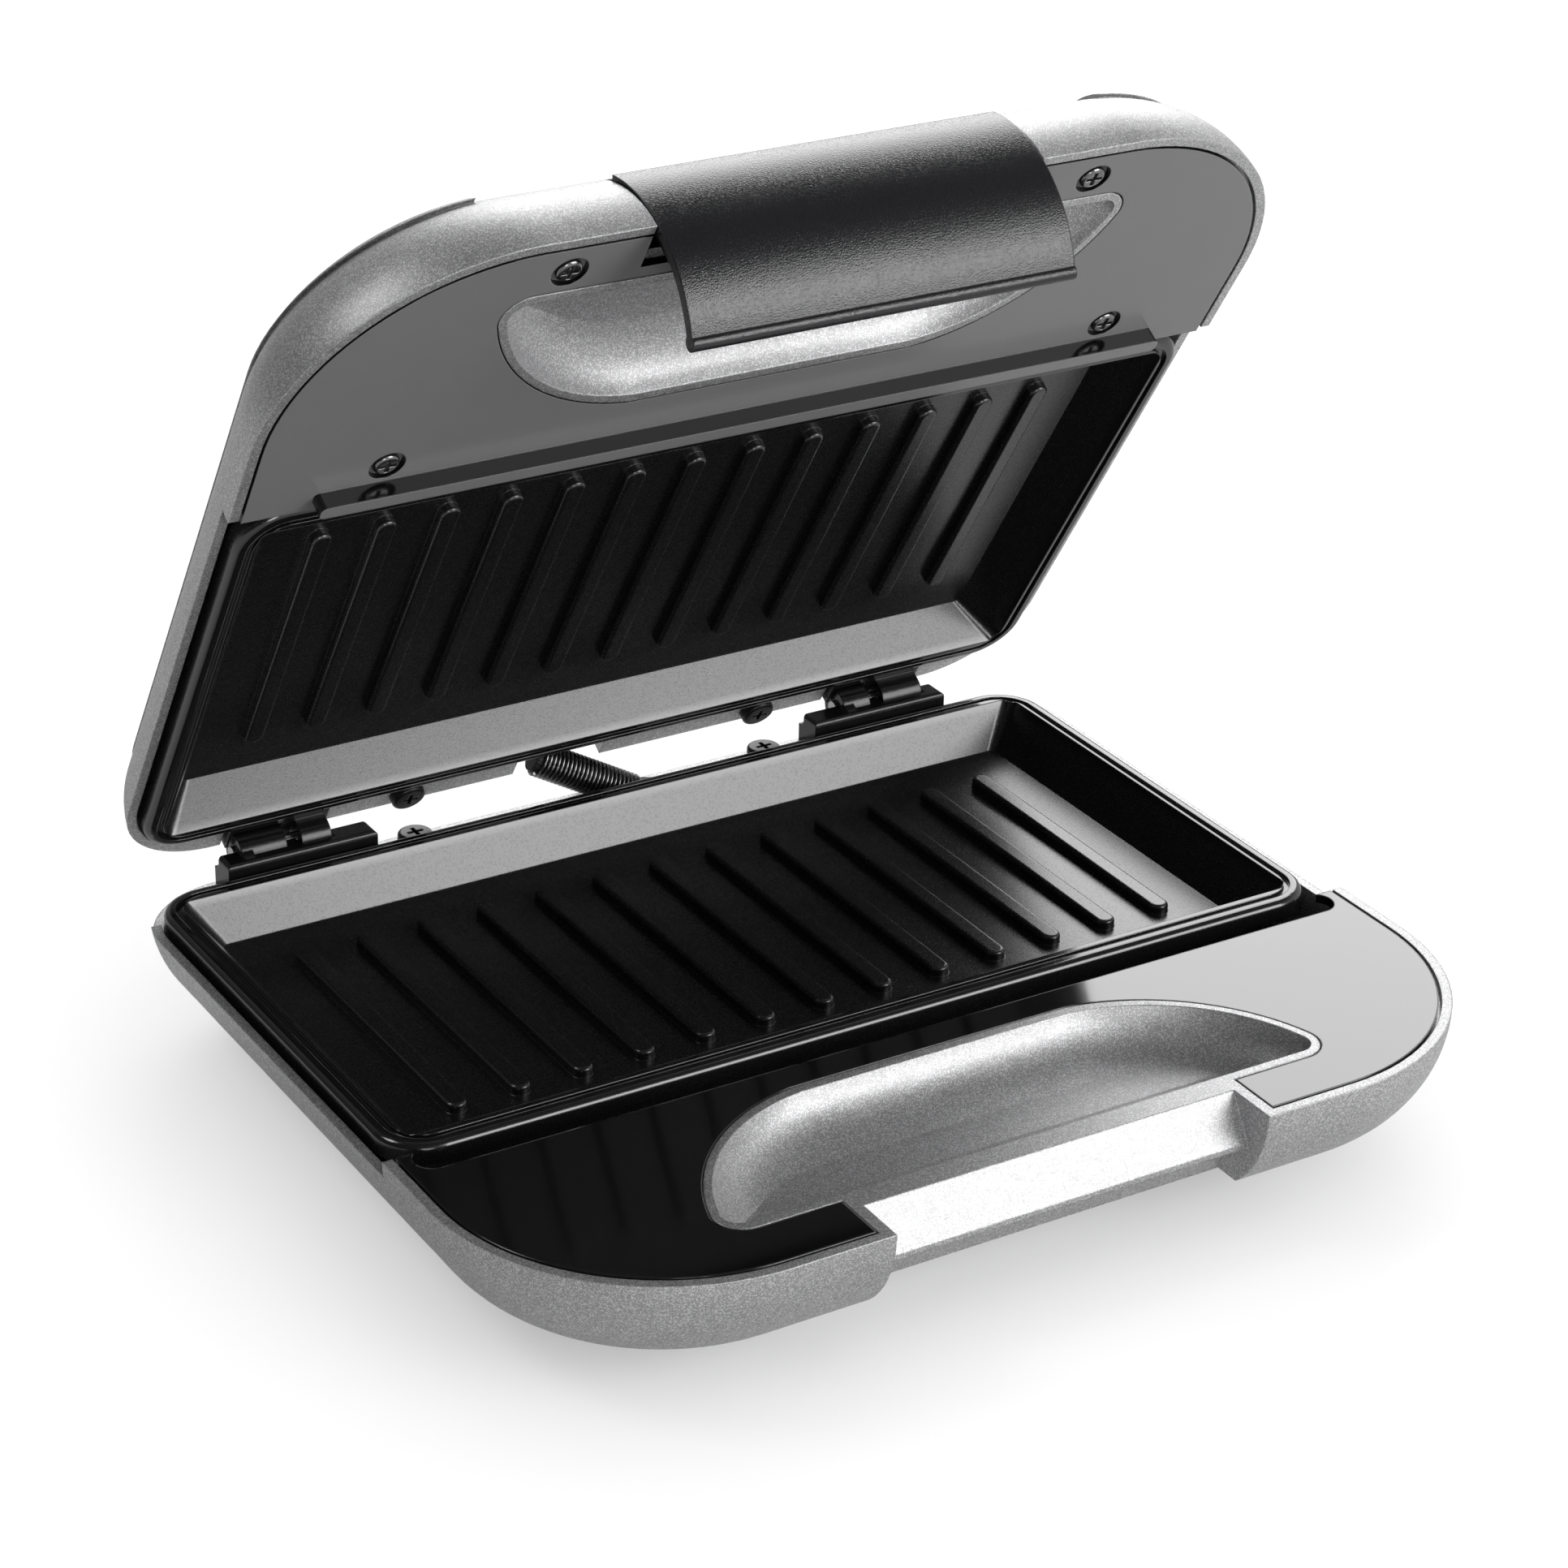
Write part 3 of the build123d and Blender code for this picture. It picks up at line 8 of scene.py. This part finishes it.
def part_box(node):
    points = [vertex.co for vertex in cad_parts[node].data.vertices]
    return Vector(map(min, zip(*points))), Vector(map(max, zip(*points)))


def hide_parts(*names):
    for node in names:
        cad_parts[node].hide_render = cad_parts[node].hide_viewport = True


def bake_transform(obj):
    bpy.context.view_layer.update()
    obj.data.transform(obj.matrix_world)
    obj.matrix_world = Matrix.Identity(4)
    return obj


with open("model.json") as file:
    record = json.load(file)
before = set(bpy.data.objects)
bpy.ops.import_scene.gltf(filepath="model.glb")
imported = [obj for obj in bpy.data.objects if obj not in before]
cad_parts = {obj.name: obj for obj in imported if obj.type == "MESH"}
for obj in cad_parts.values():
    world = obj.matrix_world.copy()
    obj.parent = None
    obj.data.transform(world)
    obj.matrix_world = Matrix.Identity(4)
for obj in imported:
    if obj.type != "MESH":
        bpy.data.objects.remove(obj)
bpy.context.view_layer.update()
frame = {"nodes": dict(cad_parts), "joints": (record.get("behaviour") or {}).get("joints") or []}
nodes = frame["nodes"]

# The camera. It stands where the photograph was taken from: 0.9 m away, to the front left and 26 degrees up,
# with a long lens that takes in the open appliance in a square picture.
plate_low, plate_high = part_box("lower_grill_plate")
rim_middle = Vector((0, (plate_low.y + plate_high.y) / 2, plate_high.z))
eye_offset = Vector((-0.4034, -0.6741, 0.4176))
lens_length = 93.96
film_width = 36
right_hand = Vector((0.85657, -0.51569, 0.01827))
upward = Vector((0.21564, 0.38989, 0.89525))
camera_data = bpy.data.cameras.new("photo_camera")
camera_data.lens = lens_length
camera_data.sensor_width = film_width
camera = bpy.data.objects.new("photo_camera", camera_data)
bpy.context.scene.collection.objects.link(camera)
turn = Matrix((right_hand, upward, right_hand.cross(upward))).transposed()
camera.matrix_world = Matrix.Translation(rim_middle + eye_offset) @ turn.to_4x4()
bpy.context.scene.camera = camera


# The studio: a plain white floor whose own light fades close to the appliance, so that a soft shadow shows,
# walls that fall off to the left, and a dark ceiling. One soft box stands behind to the right, two in front,
# and a small one above to the left.
class Amount:
    """A shader value that can be added, multiplied and compared like a number."""

    def __init__(self, finish, socket):
        self.finish = finish
        self.socket = socket

    def math(self, operation, first, second):
        """A Math node on two values or numbers."""
        return self.finish.node("ShaderNodeMath", {"operation": operation}, {0: first, 1: second})

    def __add__(self, other):
        return self.math("ADD", self, other)

    def __radd__(self, other):
        return self.math("ADD", other, self)

    def __sub__(self, other):
        return self.math("SUBTRACT", self, other)

    def __rsub__(self, other):
        return self.math("SUBTRACT", other, self)

    def __mul__(self, other):
        return self.math("MULTIPLY", self, other)

    def __rmul__(self, other):
        return self.math("MULTIPLY", other, self)

    def __truediv__(self, other):
        return self.math("DIVIDE", self, other)

    def __rtruediv__(self, other):
        return self.math("DIVIDE", other, self)

    def __gt__(self, other):
        return self.math("GREATER_THAN", self, other)

    def held(self):
        """The value kept between 0 and 1."""
        low = self.math("MAXIMUM", self, 0)
        return low.math("MINIMUM", low, 1)


class Finish:
    """One node tree, for a material or the world, filled node by node."""

    def __init__(self, owner):
        owner.use_nodes = True
        self.owner = owner
        self.tree = owner.node_tree
        self.tree.nodes.clear()

    def node(self, kind, settings, inputs, output=0):
        """A node with its settings made first, then its inputs set or linked."""
        made = self.tree.nodes.new(kind)
        for name, value in settings.items():
            setattr(made, name, value)
        for name, value in inputs.items():
            if isinstance(value, Amount):
                self.tree.links.new(value.socket, made.inputs[name])
            else:
                made.inputs[name].default_value = value
        return Amount(self, made.outputs[output])

    def show(self, shader, kind="ShaderNodeOutputMaterial"):
        """The output that shows a shader."""
        made = self.tree.nodes.new(kind)
        self.tree.links.new(shader.socket, made.inputs["Surface"])


def new_finish(name):
    """An empty material with a name."""
    return Finish(bpy.data.materials.new(name))


floor_reach = 3.0
floor_colour = (0.78, 0.78, 0.78, 1)
glow_strength = 1.3
glow_share_near = 0.24
glow_share_far = 0.5
glow_share_mirrored = 0.08
shadow_reach = 0.1
floor_corners = [
    (-floor_reach, -floor_reach, 0), (floor_reach, -floor_reach, 0), (floor_reach, floor_reach, 0),
    (-floor_reach, floor_reach, 0)]
floor_mesh = bpy.data.meshes.new("studio_floor")
floor_mesh.from_pydata(floor_corners, [], [(0, 1, 2, 3)])
studio_floor = bpy.data.objects.new("studio_floor", floor_mesh)
bpy.context.scene.collection.objects.link(studio_floor)
white = new_finish("studio_white")
seen = white.node("ShaderNodeLightPath", {}, {}, "Is Camera Ray")
mirrored = white.node("ShaderNodeLightPath", {}, {}, "Is Glossy Ray")
passed = white.node("ShaderNodeLightPath", {}, {}, "Is Transmission Ray")
matt_white = white.node("ShaderNodeBsdfDiffuse", {}, {"Color": floor_colour})
glow = white.node("ShaderNodeEmission", {}, {"Color": (1, 1, 1, 1), "Strength": glow_strength})
open_share = white.node("ShaderNodeAmbientOcclusion", {"samples": 6}, {"Distance": shadow_reach}, "AO")
glow_share = glow_share_near + open_share * glow_share_far
own_light = (seen + passed).held() * glow_share + mirrored * glow_share_mirrored
white.show(white.node("ShaderNodeMixShader", {}, {0: own_light, 1: matt_white, 2: glow}))
studio_floor.data.materials.append(white.owner)

ceiling_start = 0.4
ceiling_blend = 0.35
ceiling_dimming = 0.85
wall_least = 0.06
wall_most = 0.62
wall_start = 0.6
wall_blend = 1.4
studio_air = bpy.data.worlds.new("studio_air")
bpy.context.scene.world = studio_air
air = Finish(studio_air)
camera_ray = air.node("ShaderNodeLightPath", {}, {}, "Is Camera Ray")
heading = air.node("ShaderNodeTexCoord", {}, {}, "Generated")
toward_right = air.node("ShaderNodeVectorMath", {"operation": "DOT_PRODUCT"}, {
    0: heading, 1: (1, 0, 0)}, "Value")
toward_ceiling = air.node("ShaderNodeVectorMath", {"operation": "DOT_PRODUCT"}, {
    0: heading, 1: (0, 0, 1)}, "Value")
ceiling = ((toward_ceiling - ceiling_start) / ceiling_blend).held()
rise = ((toward_right + wall_start) / wall_blend).held()
walls = wall_least + rise * (1 - ceiling * ceiling_dimming) * wall_most
air.show(air.node("ShaderNodeBackground", {}, {
    "Color": (1, 1, 1, 1), "Strength": camera_ray + (1 - camera_ray) * walls}), "ShaderNodeOutputWorld")


def soft_box(name, place, width, height, watts):
    """A soft box that looks at the appliance."""
    data = bpy.data.lights.new(name, "AREA")
    data.shape = "RECTANGLE"
    data.size = width
    data.size_y = height
    data.energy = watts
    box = bpy.data.objects.new(name, data)
    box.location = place
    box.rotation_euler = (rim_middle - Vector(place)).to_track_quat("-Z", "Y").to_euler()
    bpy.context.scene.collection.objects.link(box)


soft_box("back_right_box", place=(0.74, 1.02, 0.80), width=1.0, height=0.9, watts=11.0)
soft_box("front_right_box", place=(0.72, -1.22, 0.62), width=0.9, height=0.75, watts=12.5)
soft_box("front_left_box", place=(-0.45, -1.35, 0.22), width=0.4, height=0.4, watts=3.5)
soft_box("upper_left_box", place=(-0.85, 0.45, 1.15), width=0.45, height=0.45, watts=3.4)

# The lower housing, moulded in one piece and sprayed with a fine metallic silver: tiny flakes catch the light
# one by one, under a thin satin lacquer. The upper housing has the same coat.
silver_dark = (0.38, 0.38, 0.385)
silver_light = (0.8, 0.8, 0.81)


def grain(finish, scale, detail=2.0, roughness=0.5):
    """Soft noise in the piece's own place, from 0 to 1, with features of 1/scale metres."""
    place = finish.node("ShaderNodeTexCoord", {}, {}, "Object")
    return finish.node("ShaderNodeTexNoise", {}, {
        "Vector": place, "Scale": scale, "Detail": detail, "Roughness": roughness}, "Fac")


def flecks(finish, scale):
    """A random value for each small cell."""
    place = finish.node("ShaderNodeTexCoord", {}, {}, "Object")
    cells = finish.node("ShaderNodeTexVoronoi", {}, {"Vector": place, "Scale": scale}, "Color")
    return finish.node("ShaderNodeSeparateColor", {}, {"Color": cells}, "Red")


def shade(finish, amount, dark, light):
    """A colour between two colours."""
    return finish.node("ShaderNodeMix", {"data_type": "RGBA"}, {
        "Factor": amount, 6: (*dark, 1), 7: (*light, 1)}, 2)


def relief(finish, height, depth, rounding):
    """Bump from a height, over edges that are eased by a small radius in metres."""
    eased = finish.node("ShaderNodeBevel", {"samples": 6}, {"Radius": rounding}, "Normal")
    return finish.node("ShaderNodeBump", {}, {
        "Height": height, "Distance": depth, "Strength": 1.0, "Normal": eased}, "Normal")


def coat(names, finish):
    """Gives CAD nodes a finish."""
    for name in names:
        piece = nodes[name]
        piece.data.materials.clear()
        piece.data.materials.append(finish.owner)


silver = new_finish("silver_paint")
flakes = flecks(silver, scale=5200)
orange_peel = grain(silver, scale=700)
silver.show(silver.node("ShaderNodeBsdfPrincipled", {}, {
    "Base Color": shade(silver, (flakes > 0.68) * 0.75 + orange_peel * 0.25, silver_dark, silver_light),
    "Metallic": 0.88, "Roughness": 0.42 + flakes * 0.14,
    "Normal": relief(silver, orange_peel * 0.3 + flakes * 0.7, depth=0.00004, rounding=0.0005)}))
coat(["lower_housing"], silver)

# The four rubber feet, moulded in matt black rubber and pushed into the floor of the housing by their necks.
# Dust from the worktop has greyed them a little.
rubber = new_finish("foot_rubber")
dust = grain(rubber, scale=260, detail=4.0)
rubber.show(rubber.node("ShaderNodeBsdfPrincipled", {}, {
    "Base Color": shade(rubber, dust, (0.02, 0.02, 0.02), (0.045, 0.045, 0.045)),
    "Roughness": 0.72 + dust * 0.2,
    "Normal": relief(rubber, grain(rubber, scale=2400), depth=0.00005, rounding=0.0004)}))
coat([name for name in nodes if name.startswith("foot_")], rubber)

# The electrical parts in the base: a dark moulded disc thermostat, a fuse in a woven glass sleeve, an ivory
# terminal block, and the black inlet that the cord passes in the rear wall.
disc = new_finish("thermostat_disc")
mould = grain(disc, scale=900, detail=3.0)
disc.show(disc.node("ShaderNodeBsdfPrincipled", {}, {
    "Base Color": shade(disc, mould, (0.03, 0.02, 0.015), (0.06, 0.045, 0.035)),
    "Roughness": 0.4 + mould * 0.2, "Normal": relief(disc, mould, depth=0.00003, rounding=0.0003)}))
coat(["thermostat"], disc)

sleeve = new_finish("glass_sleeve")
place = sleeve.node("ShaderNodeTexCoord", {}, {}, "Object")
weave = sleeve.node("ShaderNodeTexWave", {"bands_direction": "DIAGONAL"}, {
    "Vector": place, "Scale": 420.0}, "Fac")
sleeve.show(sleeve.node("ShaderNodeBsdfPrincipled", {}, {
    "Base Color": shade(sleeve, weave, (0.5, 0.48, 0.4), (0.74, 0.72, 0.66)),
    "Roughness": 0.7 + weave * 0.2, "Normal": relief(sleeve, weave, depth=0.0001, rounding=0.0001)}))
coat(["thermal_fuse"], sleeve)

ivory = new_finish("ivory_block")
mould = grain(ivory, scale=300, detail=3.0)
ivory.show(ivory.node("ShaderNodeBsdfPrincipled", {}, {
    "Base Color": shade(ivory, mould, (0.62, 0.6, 0.52), (0.7, 0.68, 0.6)),
    "Roughness": 0.45 + mould * 0.2, "Normal": relief(ivory, mould, depth=0.00003, rounding=0.0003)}))
coat(["terminal_block"], ivory)

satin_black = new_finish("satin_black")
mould = grain(satin_black, scale=1100, detail=3.0)
satin_black.show(satin_black.node("ShaderNodeBsdfPrincipled", {}, {
    "Base Color": shade(satin_black, mould, (0.01, 0.01, 0.01), (0.02, 0.02, 0.02)),
    "Roughness": 0.42 + mould * 0.2, "Normal": relief(satin_black, mould, depth=0.00003, rounding=0.0003)}))
coat(["cord_inlet"], satin_black)

# The heaters under the plates, bent from steel tube that has tempered straw and brown, with bright saddle
# clips and a thin aluminium shield on four posts.
tube = new_finish("heater_tube")
temper = grain(tube, scale=60, detail=3.0)
tube.show(tube.node("ShaderNodeBsdfPrincipled", {}, {
    "Base Color": shade(tube, temper, (0.16, 0.12, 0.09), (0.34, 0.32, 0.3)),
    "Metallic": 0.9, "Roughness": 0.38 + temper * 0.2,
    "Normal": relief(tube, grain(tube, scale=1200), depth=0.00003, rounding=0.0003)}))
coat(["lower_heating_element", "upper_heating_element"], tube)

sheet = new_finish("bright_sheet")
place = sheet.node("ShaderNodeTexCoord", {}, {}, "Object")
stretched = sheet.node("ShaderNodeVectorMath", {"operation": "MULTIPLY"}, {0: place, 1: (60, 1800, 1800)})
rolled = sheet.node("ShaderNodeTexNoise", {}, {"Vector": stretched, "Scale": 1.0, "Detail": 3.0}, "Fac")
sheet.show(sheet.node("ShaderNodeBsdfPrincipled", {}, {
    "Base Color": shade(sheet, rolled, (0.5, 0.5, 0.5), (0.72, 0.72, 0.72)),
    "Metallic": 1.0, "Roughness": 0.22 + rolled * 0.22,
    "Normal": relief(sheet, rolled, depth=0.00002, rounding=0.0001)}))
coat(["lower_element_clips", "upper_element_clips", "lower_heat_shield", "upper_heat_shield"], sheet)

# The two ribbed plates, pressure cast in aluminium and sprayed with a black non-stick coat. The coat has a
# fine pebble with darker pin points, and it has flowed out smoother and glossier along the rims.
coat_black = (0.007, 0.007, 0.0075)
point_black = (0.003, 0.003, 0.003)
rim_fade = 0.0018
hinge = [joint for joint in frame["joints"] if joint["name"] == "lid_hinge"][0]
closed_angle = math.radians(max(hinge["range_deg"]))
lid_down = Vector((0, -math.sin(closed_angle), -math.cos(closed_angle)))


def plate_coat(name, outward):
    """The non-stick coat of a plate whose rim faces outward."""
    finish = new_finish(name + "_coat")
    rim_spot = max((vertex.co for vertex in nodes[name].data.vertices), key=lambda spot: spot.dot(outward))
    place = finish.node("ShaderNodeTexCoord", {}, {}, "Object")
    reach = finish.node("ShaderNodeVectorMath", {"operation": "DOT_PRODUCT"}, {0: place, 1: outward}, "Value")
    rim = (1 - (rim_spot.dot(outward) - reach) / rim_fade).held()
    pebble = grain(finish, scale=3600, detail=2.0, roughness=0.6)
    points = flecks(finish, scale=3200) > 0.9
    finish.show(finish.node("ShaderNodeBsdfPrincipled", {}, {
        "Base Color": shade(finish, points * 0.9 + pebble * 0.1, coat_black, point_black),
        "Roughness": 0.22 + pebble * 0.1 - rim * 0.17,
        "Normal": relief(finish, (pebble + points * -0.5) * (1 - rim * 0.9), depth=0.000012, rounding=0.0004),
        "IOR": 1.75}))
    return finish


coat(["lower_grill_plate"], plate_coat("lower_grill_plate", Vector((0, 0, 1))))
coat(["upper_grill_plate"], plate_coat("upper_grill_plate", lid_down))

# The screws that hold the plates and the hinge brackets, steel, cross head and plated in dark nickel. Each is
# driven up or down into a boss, and the lid panel's screws have the same plating.
nickel = new_finish("dark_nickel")
turned = grain(nickel, scale=1800)
nickel.show(nickel.node("ShaderNodeBsdfPrincipled", {}, {
    "Base Color": shade(nickel, turned, (0.16, 0.16, 0.16), (0.3, 0.3, 0.3)),
    "Metallic": 0.95, "Roughness": 0.14 + turned * 0.1,
    "Normal": relief(nickel, turned, depth=0.00002, rounding=0.0003)}))
coat(["plate_screws", "hinge_screws", "upper_plate_screws"], nickel)

# The trim panel round the lower scoop, injection moulded in piano black. It is as smooth as glass, with only
# the faintest wipe marks in its gloss, and mirrors the lid and the lights.
piano = new_finish("piano_black")
wipe = grain(piano, scale=38, detail=5.0, roughness=0.7)
piano.show(piano.node("ShaderNodeBsdfPrincipled", {}, {
    "Base Color": shade(piano, wipe, (0.0035, 0.0035, 0.0037), (0.006, 0.006, 0.0063)),
    "Roughness": 0.05 + wipe * 0.05,
    "Normal": relief(piano, wipe, depth=0.00001, rounding=0.0006),
    "IOR": 1.8}))
coat(["lower_trim_panel"], piano)

# The hinge brackets, moulded in glass-filled black plastic with a gloss skin. They are held by screws and
# turn on ground steel pins, and the same steel makes the latch's axle and springs.
bracket = new_finish("bracket_black")
skin = grain(bracket, scale=700, detail=3.0, roughness=0.6)
bracket.show(bracket.node("ShaderNodeBsdfPrincipled", {}, {
    "Base Color": shade(bracket, skin, (0.005, 0.005, 0.0055), (0.01, 0.01, 0.011)),
    "Roughness": 0.16 + skin * 0.12,
    "Normal": relief(bracket, skin, depth=0.00003, rounding=0.0005)}))
coat([name for name in nodes if "_hinge_" in name], bracket)

pin_steel = new_finish("pin_steel")
ground = grain(pin_steel, scale=2600)
pin_steel.show(pin_steel.node("ShaderNodeBsdfPrincipled", {}, {
    "Base Color": shade(pin_steel, ground, (0.4, 0.4, 0.4), (0.58, 0.58, 0.58)),
    "Metallic": 1.0, "Roughness": 0.2 + ground * 0.15,
    "Normal": relief(pin_steel, ground, depth=0.00001, rounding=0.0002)}))
coat(["hinge_pin_left", "hinge_pin_right"], pin_steel)

# The pan head screws on the rear decks, one pair on the base and one on the lid, in black zinc.
# Their heads stand on the deck between the hinges.
black_zinc = new_finish("black_zinc")
turned = grain(black_zinc, scale=1800)
black_zinc.show(black_zinc.node("ShaderNodeBsdfPrincipled", {}, {
    "Base Color": shade(black_zinc, turned, (0.01, 0.01, 0.01), (0.03, 0.03, 0.03)),
    "Metallic": 0.6, "Roughness": 0.24 + turned * 0.15,
    "Normal": relief(black_zinc, turned, depth=0.00002, rounding=0.0003)}))
coat(["rear_deck_screws", "lid_deck_screws"], black_zinc)

# The spring conduit, close wound from dark steel wire round a black sleeve with the lid's wires in it. It
# leaves the base's deck and enters the lid's.
coil_turns = 24
coil_pitch = 0.00106
coil_diameter = 0.0086
coil_wire = 0.00084
sleeve_diameter = 0.0066
sleeve_beyond = 0.0012
coil_drop = math.radians(27)
coil_lean = math.radians(14)
straight_limit = 0.9
steps_per_turn = 20
wire_sides = 8
sleeve_steps = 24
sleeve_sides = 16
coil_axis = Vector((-math.cos(coil_drop) * math.cos(coil_lean), math.cos(coil_drop) * math.sin(coil_lean),
                    math.sin(coil_drop)))
conduit_low, conduit_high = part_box("spring_conduit")
coil_middle = (conduit_low + conduit_high) / 2
coil_start = coil_middle - coil_axis * (coil_turns * coil_pitch / 2)
coil_end = coil_middle + coil_axis * (coil_turns * coil_pitch / 2)
coil_side = coil_axis.orthogonal().normalized()


def tube_mesh(name, spots, diameter, sides):
    """A round tube along a line of spots, closed at both ends."""
    verts = []
    faces = []
    for index, spot in enumerate(spots):
        before = spots[max(index - 1, 0)]
        after = spots[min(index + 1, len(spots) - 1)]
        along = (after - before).normalized()
        out = coil_side
        if abs(along.dot(coil_axis)) < straight_limit:
            out = (coil_axis - along * coil_axis.dot(along)).normalized()
        across = along.cross(out)
        for side in range(sides):
            angle = 2 * math.pi * side / sides
            verts.append(spot + (out * math.cos(angle) + across * math.sin(angle)) * (diameter / 2))
    for index in range(len(spots) - 1):
        for side in range(sides):
            first = index * sides + side
            second = index * sides + (side + 1) % sides
            faces.append((first, second, second + sides, first + sides))
    faces.append(tuple(reversed(range(sides))))
    faces.append(tuple(range((len(spots) - 1) * sides, len(spots) * sides)))
    mesh = bpy.data.meshes.new(name)
    mesh.from_pydata(verts, [], faces)
    mesh.polygons.foreach_set("use_smooth", [len(face) == 4 for face in faces])
    made = bpy.data.objects.new(name, mesh)
    bpy.context.scene.collection.objects.link(made)
    return made


def coil_spot(turn_share):
    """A point of the coil's wire, counted in turns from its start."""
    arm = Quaternion(coil_axis, 2 * math.pi * turn_share) @ coil_side
    return coil_start + coil_axis * (coil_pitch * turn_share) + arm * ((coil_diameter - coil_wire) / 2)


coil_spots = [coil_spot(step / steps_per_turn) for step in range(coil_turns * steps_per_turn + 1)]
coil = tube_mesh("conduit_coil", coil_spots, coil_wire, wire_sides)
wire_steel = new_finish("conduit_steel")
oil = grain(wire_steel, scale=500, detail=3.0)
wire_steel.show(wire_steel.node("ShaderNodeBsdfPrincipled", {}, {
    "Base Color": shade(wire_steel, oil, (0.14, 0.14, 0.143), (0.32, 0.32, 0.325)),
    "Metallic": 1.0, "Roughness": 0.2 + oil * 0.14,
    "Normal": relief(wire_steel, oil, depth=0.00001, rounding=0.0001)}))
coil.data.materials.append(wire_steel.owner)
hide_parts("spring_conduit")
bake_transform(coil)

sleeve_first = coil_start - coil_axis * sleeve_beyond
sleeve_last = coil_end + coil_axis * sleeve_beyond
sleeve_spots = [sleeve_first.lerp(sleeve_last, step / sleeve_steps) for step in range(sleeve_steps + 1)]
wires = tube_mesh("conduit_wires", sleeve_spots, sleeve_diameter, sleeve_sides)
braid = new_finish("wire_sleeve")
place = braid.node("ShaderNodeTexCoord", {}, {}, "Object")
cloth = braid.node("ShaderNodeTexWave", {"bands_direction": "DIAGONAL"}, {
    "Vector": place, "Scale": 600.0}, "Fac")
braid.show(braid.node("ShaderNodeBsdfPrincipled", {}, {
    "Base Color": shade(braid, cloth, (0.006, 0.006, 0.006), (0.02, 0.02, 0.02)),
    "Roughness": 0.5 + cloth * 0.2, "Normal": relief(braid, cloth, depth=0.00005, rounding=0.0001)}))
wires.data.materials.append(braid.owner)
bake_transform(wires)

# The upper housing, the same silver moulding as the lower one, with the latch window in its front and holes
# for the lamps in its top.
coat(["upper_housing"], silver)

# The two lamps, clear tinted lenses in the lid's top, red for power and green for ready, on a black holder.
# Fine facets inside the lenses spread the light.
lens_tints = {"power_lamp": (0.5, 0.02, 0.015), "ready_lamp": (0.02, 0.32, 0.06)}
for name, tint in lens_tints.items():
    lens = new_finish(name + "_lens")
    facets = flecks(lens, scale=1400)
    lens.show(lens.node("ShaderNodeBsdfPrincipled", {}, {
        "Base Color": shade(lens, facets, tuple(0.7 * part for part in tint), tint),
        "Roughness": 0.08 + facets * 0.08, "Coat Weight": 0.6,
        "Normal": relief(lens, facets, depth=0.00004, rounding=0.0003)}))
    coat([name], lens)
coat(["lamp_holder"], satin_black)

# The panel of the lid, moulded in grey plastic in one piece with its raised bar and four screw recesses. Its
# upright walls look nearly black, most likely because they mirror a dark ceiling. Here that dark reflection
# is
# painted: the walls' colour is darkened by the way they face, and they are left glossier than the faces.
satin_grey = (0.19, 0.19, 0.192)
# A painted dark reflection for the panel's upright walls, not the moulding's own colour.
painted_wall_reflection = (0.004, 0.004, 0.0041)
painted_wall_start = 0.5
painted_wall_blend = 0.3
graphite = new_finish("graphite_satin_painted_walls")
wipe = grain(graphite, scale=45, detail=5.0, roughness=0.7)
facing = graphite.node("ShaderNodeTexCoord", {}, {}, "Normal")
level = graphite.node("ShaderNodeVectorMath", {"operation": "DOT_PRODUCT"}, {
    0: facing, 1: lid_down}, "Value")
# Painted reflection: surfaces that turn away from the lid's inner face are coloured near black, standing in
# for the dark ceiling that the upright walls mirror.
unpainted_face_share = ((level - painted_wall_start) / painted_wall_blend).held()
graphite.show(graphite.node("ShaderNodeBsdfPrincipled", {}, {
    "Base Color": shade(graphite, unpainted_face_share * (0.9 + wipe * 0.1), painted_wall_reflection, satin_grey),
    "Roughness": 0.1 + unpainted_face_share * 0.1 + wipe * 0.06,
    "Normal": relief(graphite, wipe, depth=0.00001, rounding=0.0005),
    "IOR": 1.5}))
coat(["upper_inner_panel"], graphite)
coat(["panel_screws"], nickel)

# The latch's carrier in the lid, a black moulding with two ears, and its steel axle and return springs.
# The springs press the cover shut.
coat(["latch_bracket"], satin_black)
coat(["latch_axle", "latch_springs"], pin_steel)

# The latch cover, moulded in black plastic with a fine leather grain over its curved face. Its lower edge is
# rolled into a smooth glossy bead that the fingers pull.
leather = new_finish("leather_grain_black")
hide = grain(leather, scale=2300, detail=3.0, roughness=0.6)
place = leather.node("ShaderNodeTexCoord", {}, {}, "Object")
creases = leather.node("ShaderNodeTexVoronoi", {"feature": "DISTANCE_TO_EDGE"}, {
    "Vector": place, "Scale": 2000.0}, "Distance")
leather.show(leather.node("ShaderNodeBsdfPrincipled", {}, {
    "Base Color": shade(leather, hide, (0.005, 0.005, 0.0062), (0.011, 0.011, 0.0138)),
    "Roughness": 0.17 + hide * 0.12,
    "Normal": relief(leather, hide * 0.6 + creases * 0.8, depth=0.00008, rounding=0.0005),
    "IOR": 1.6}))
coat(["latch_cover"], leather)

bpy.context.scene.view_settings.view_transform = "Standard"
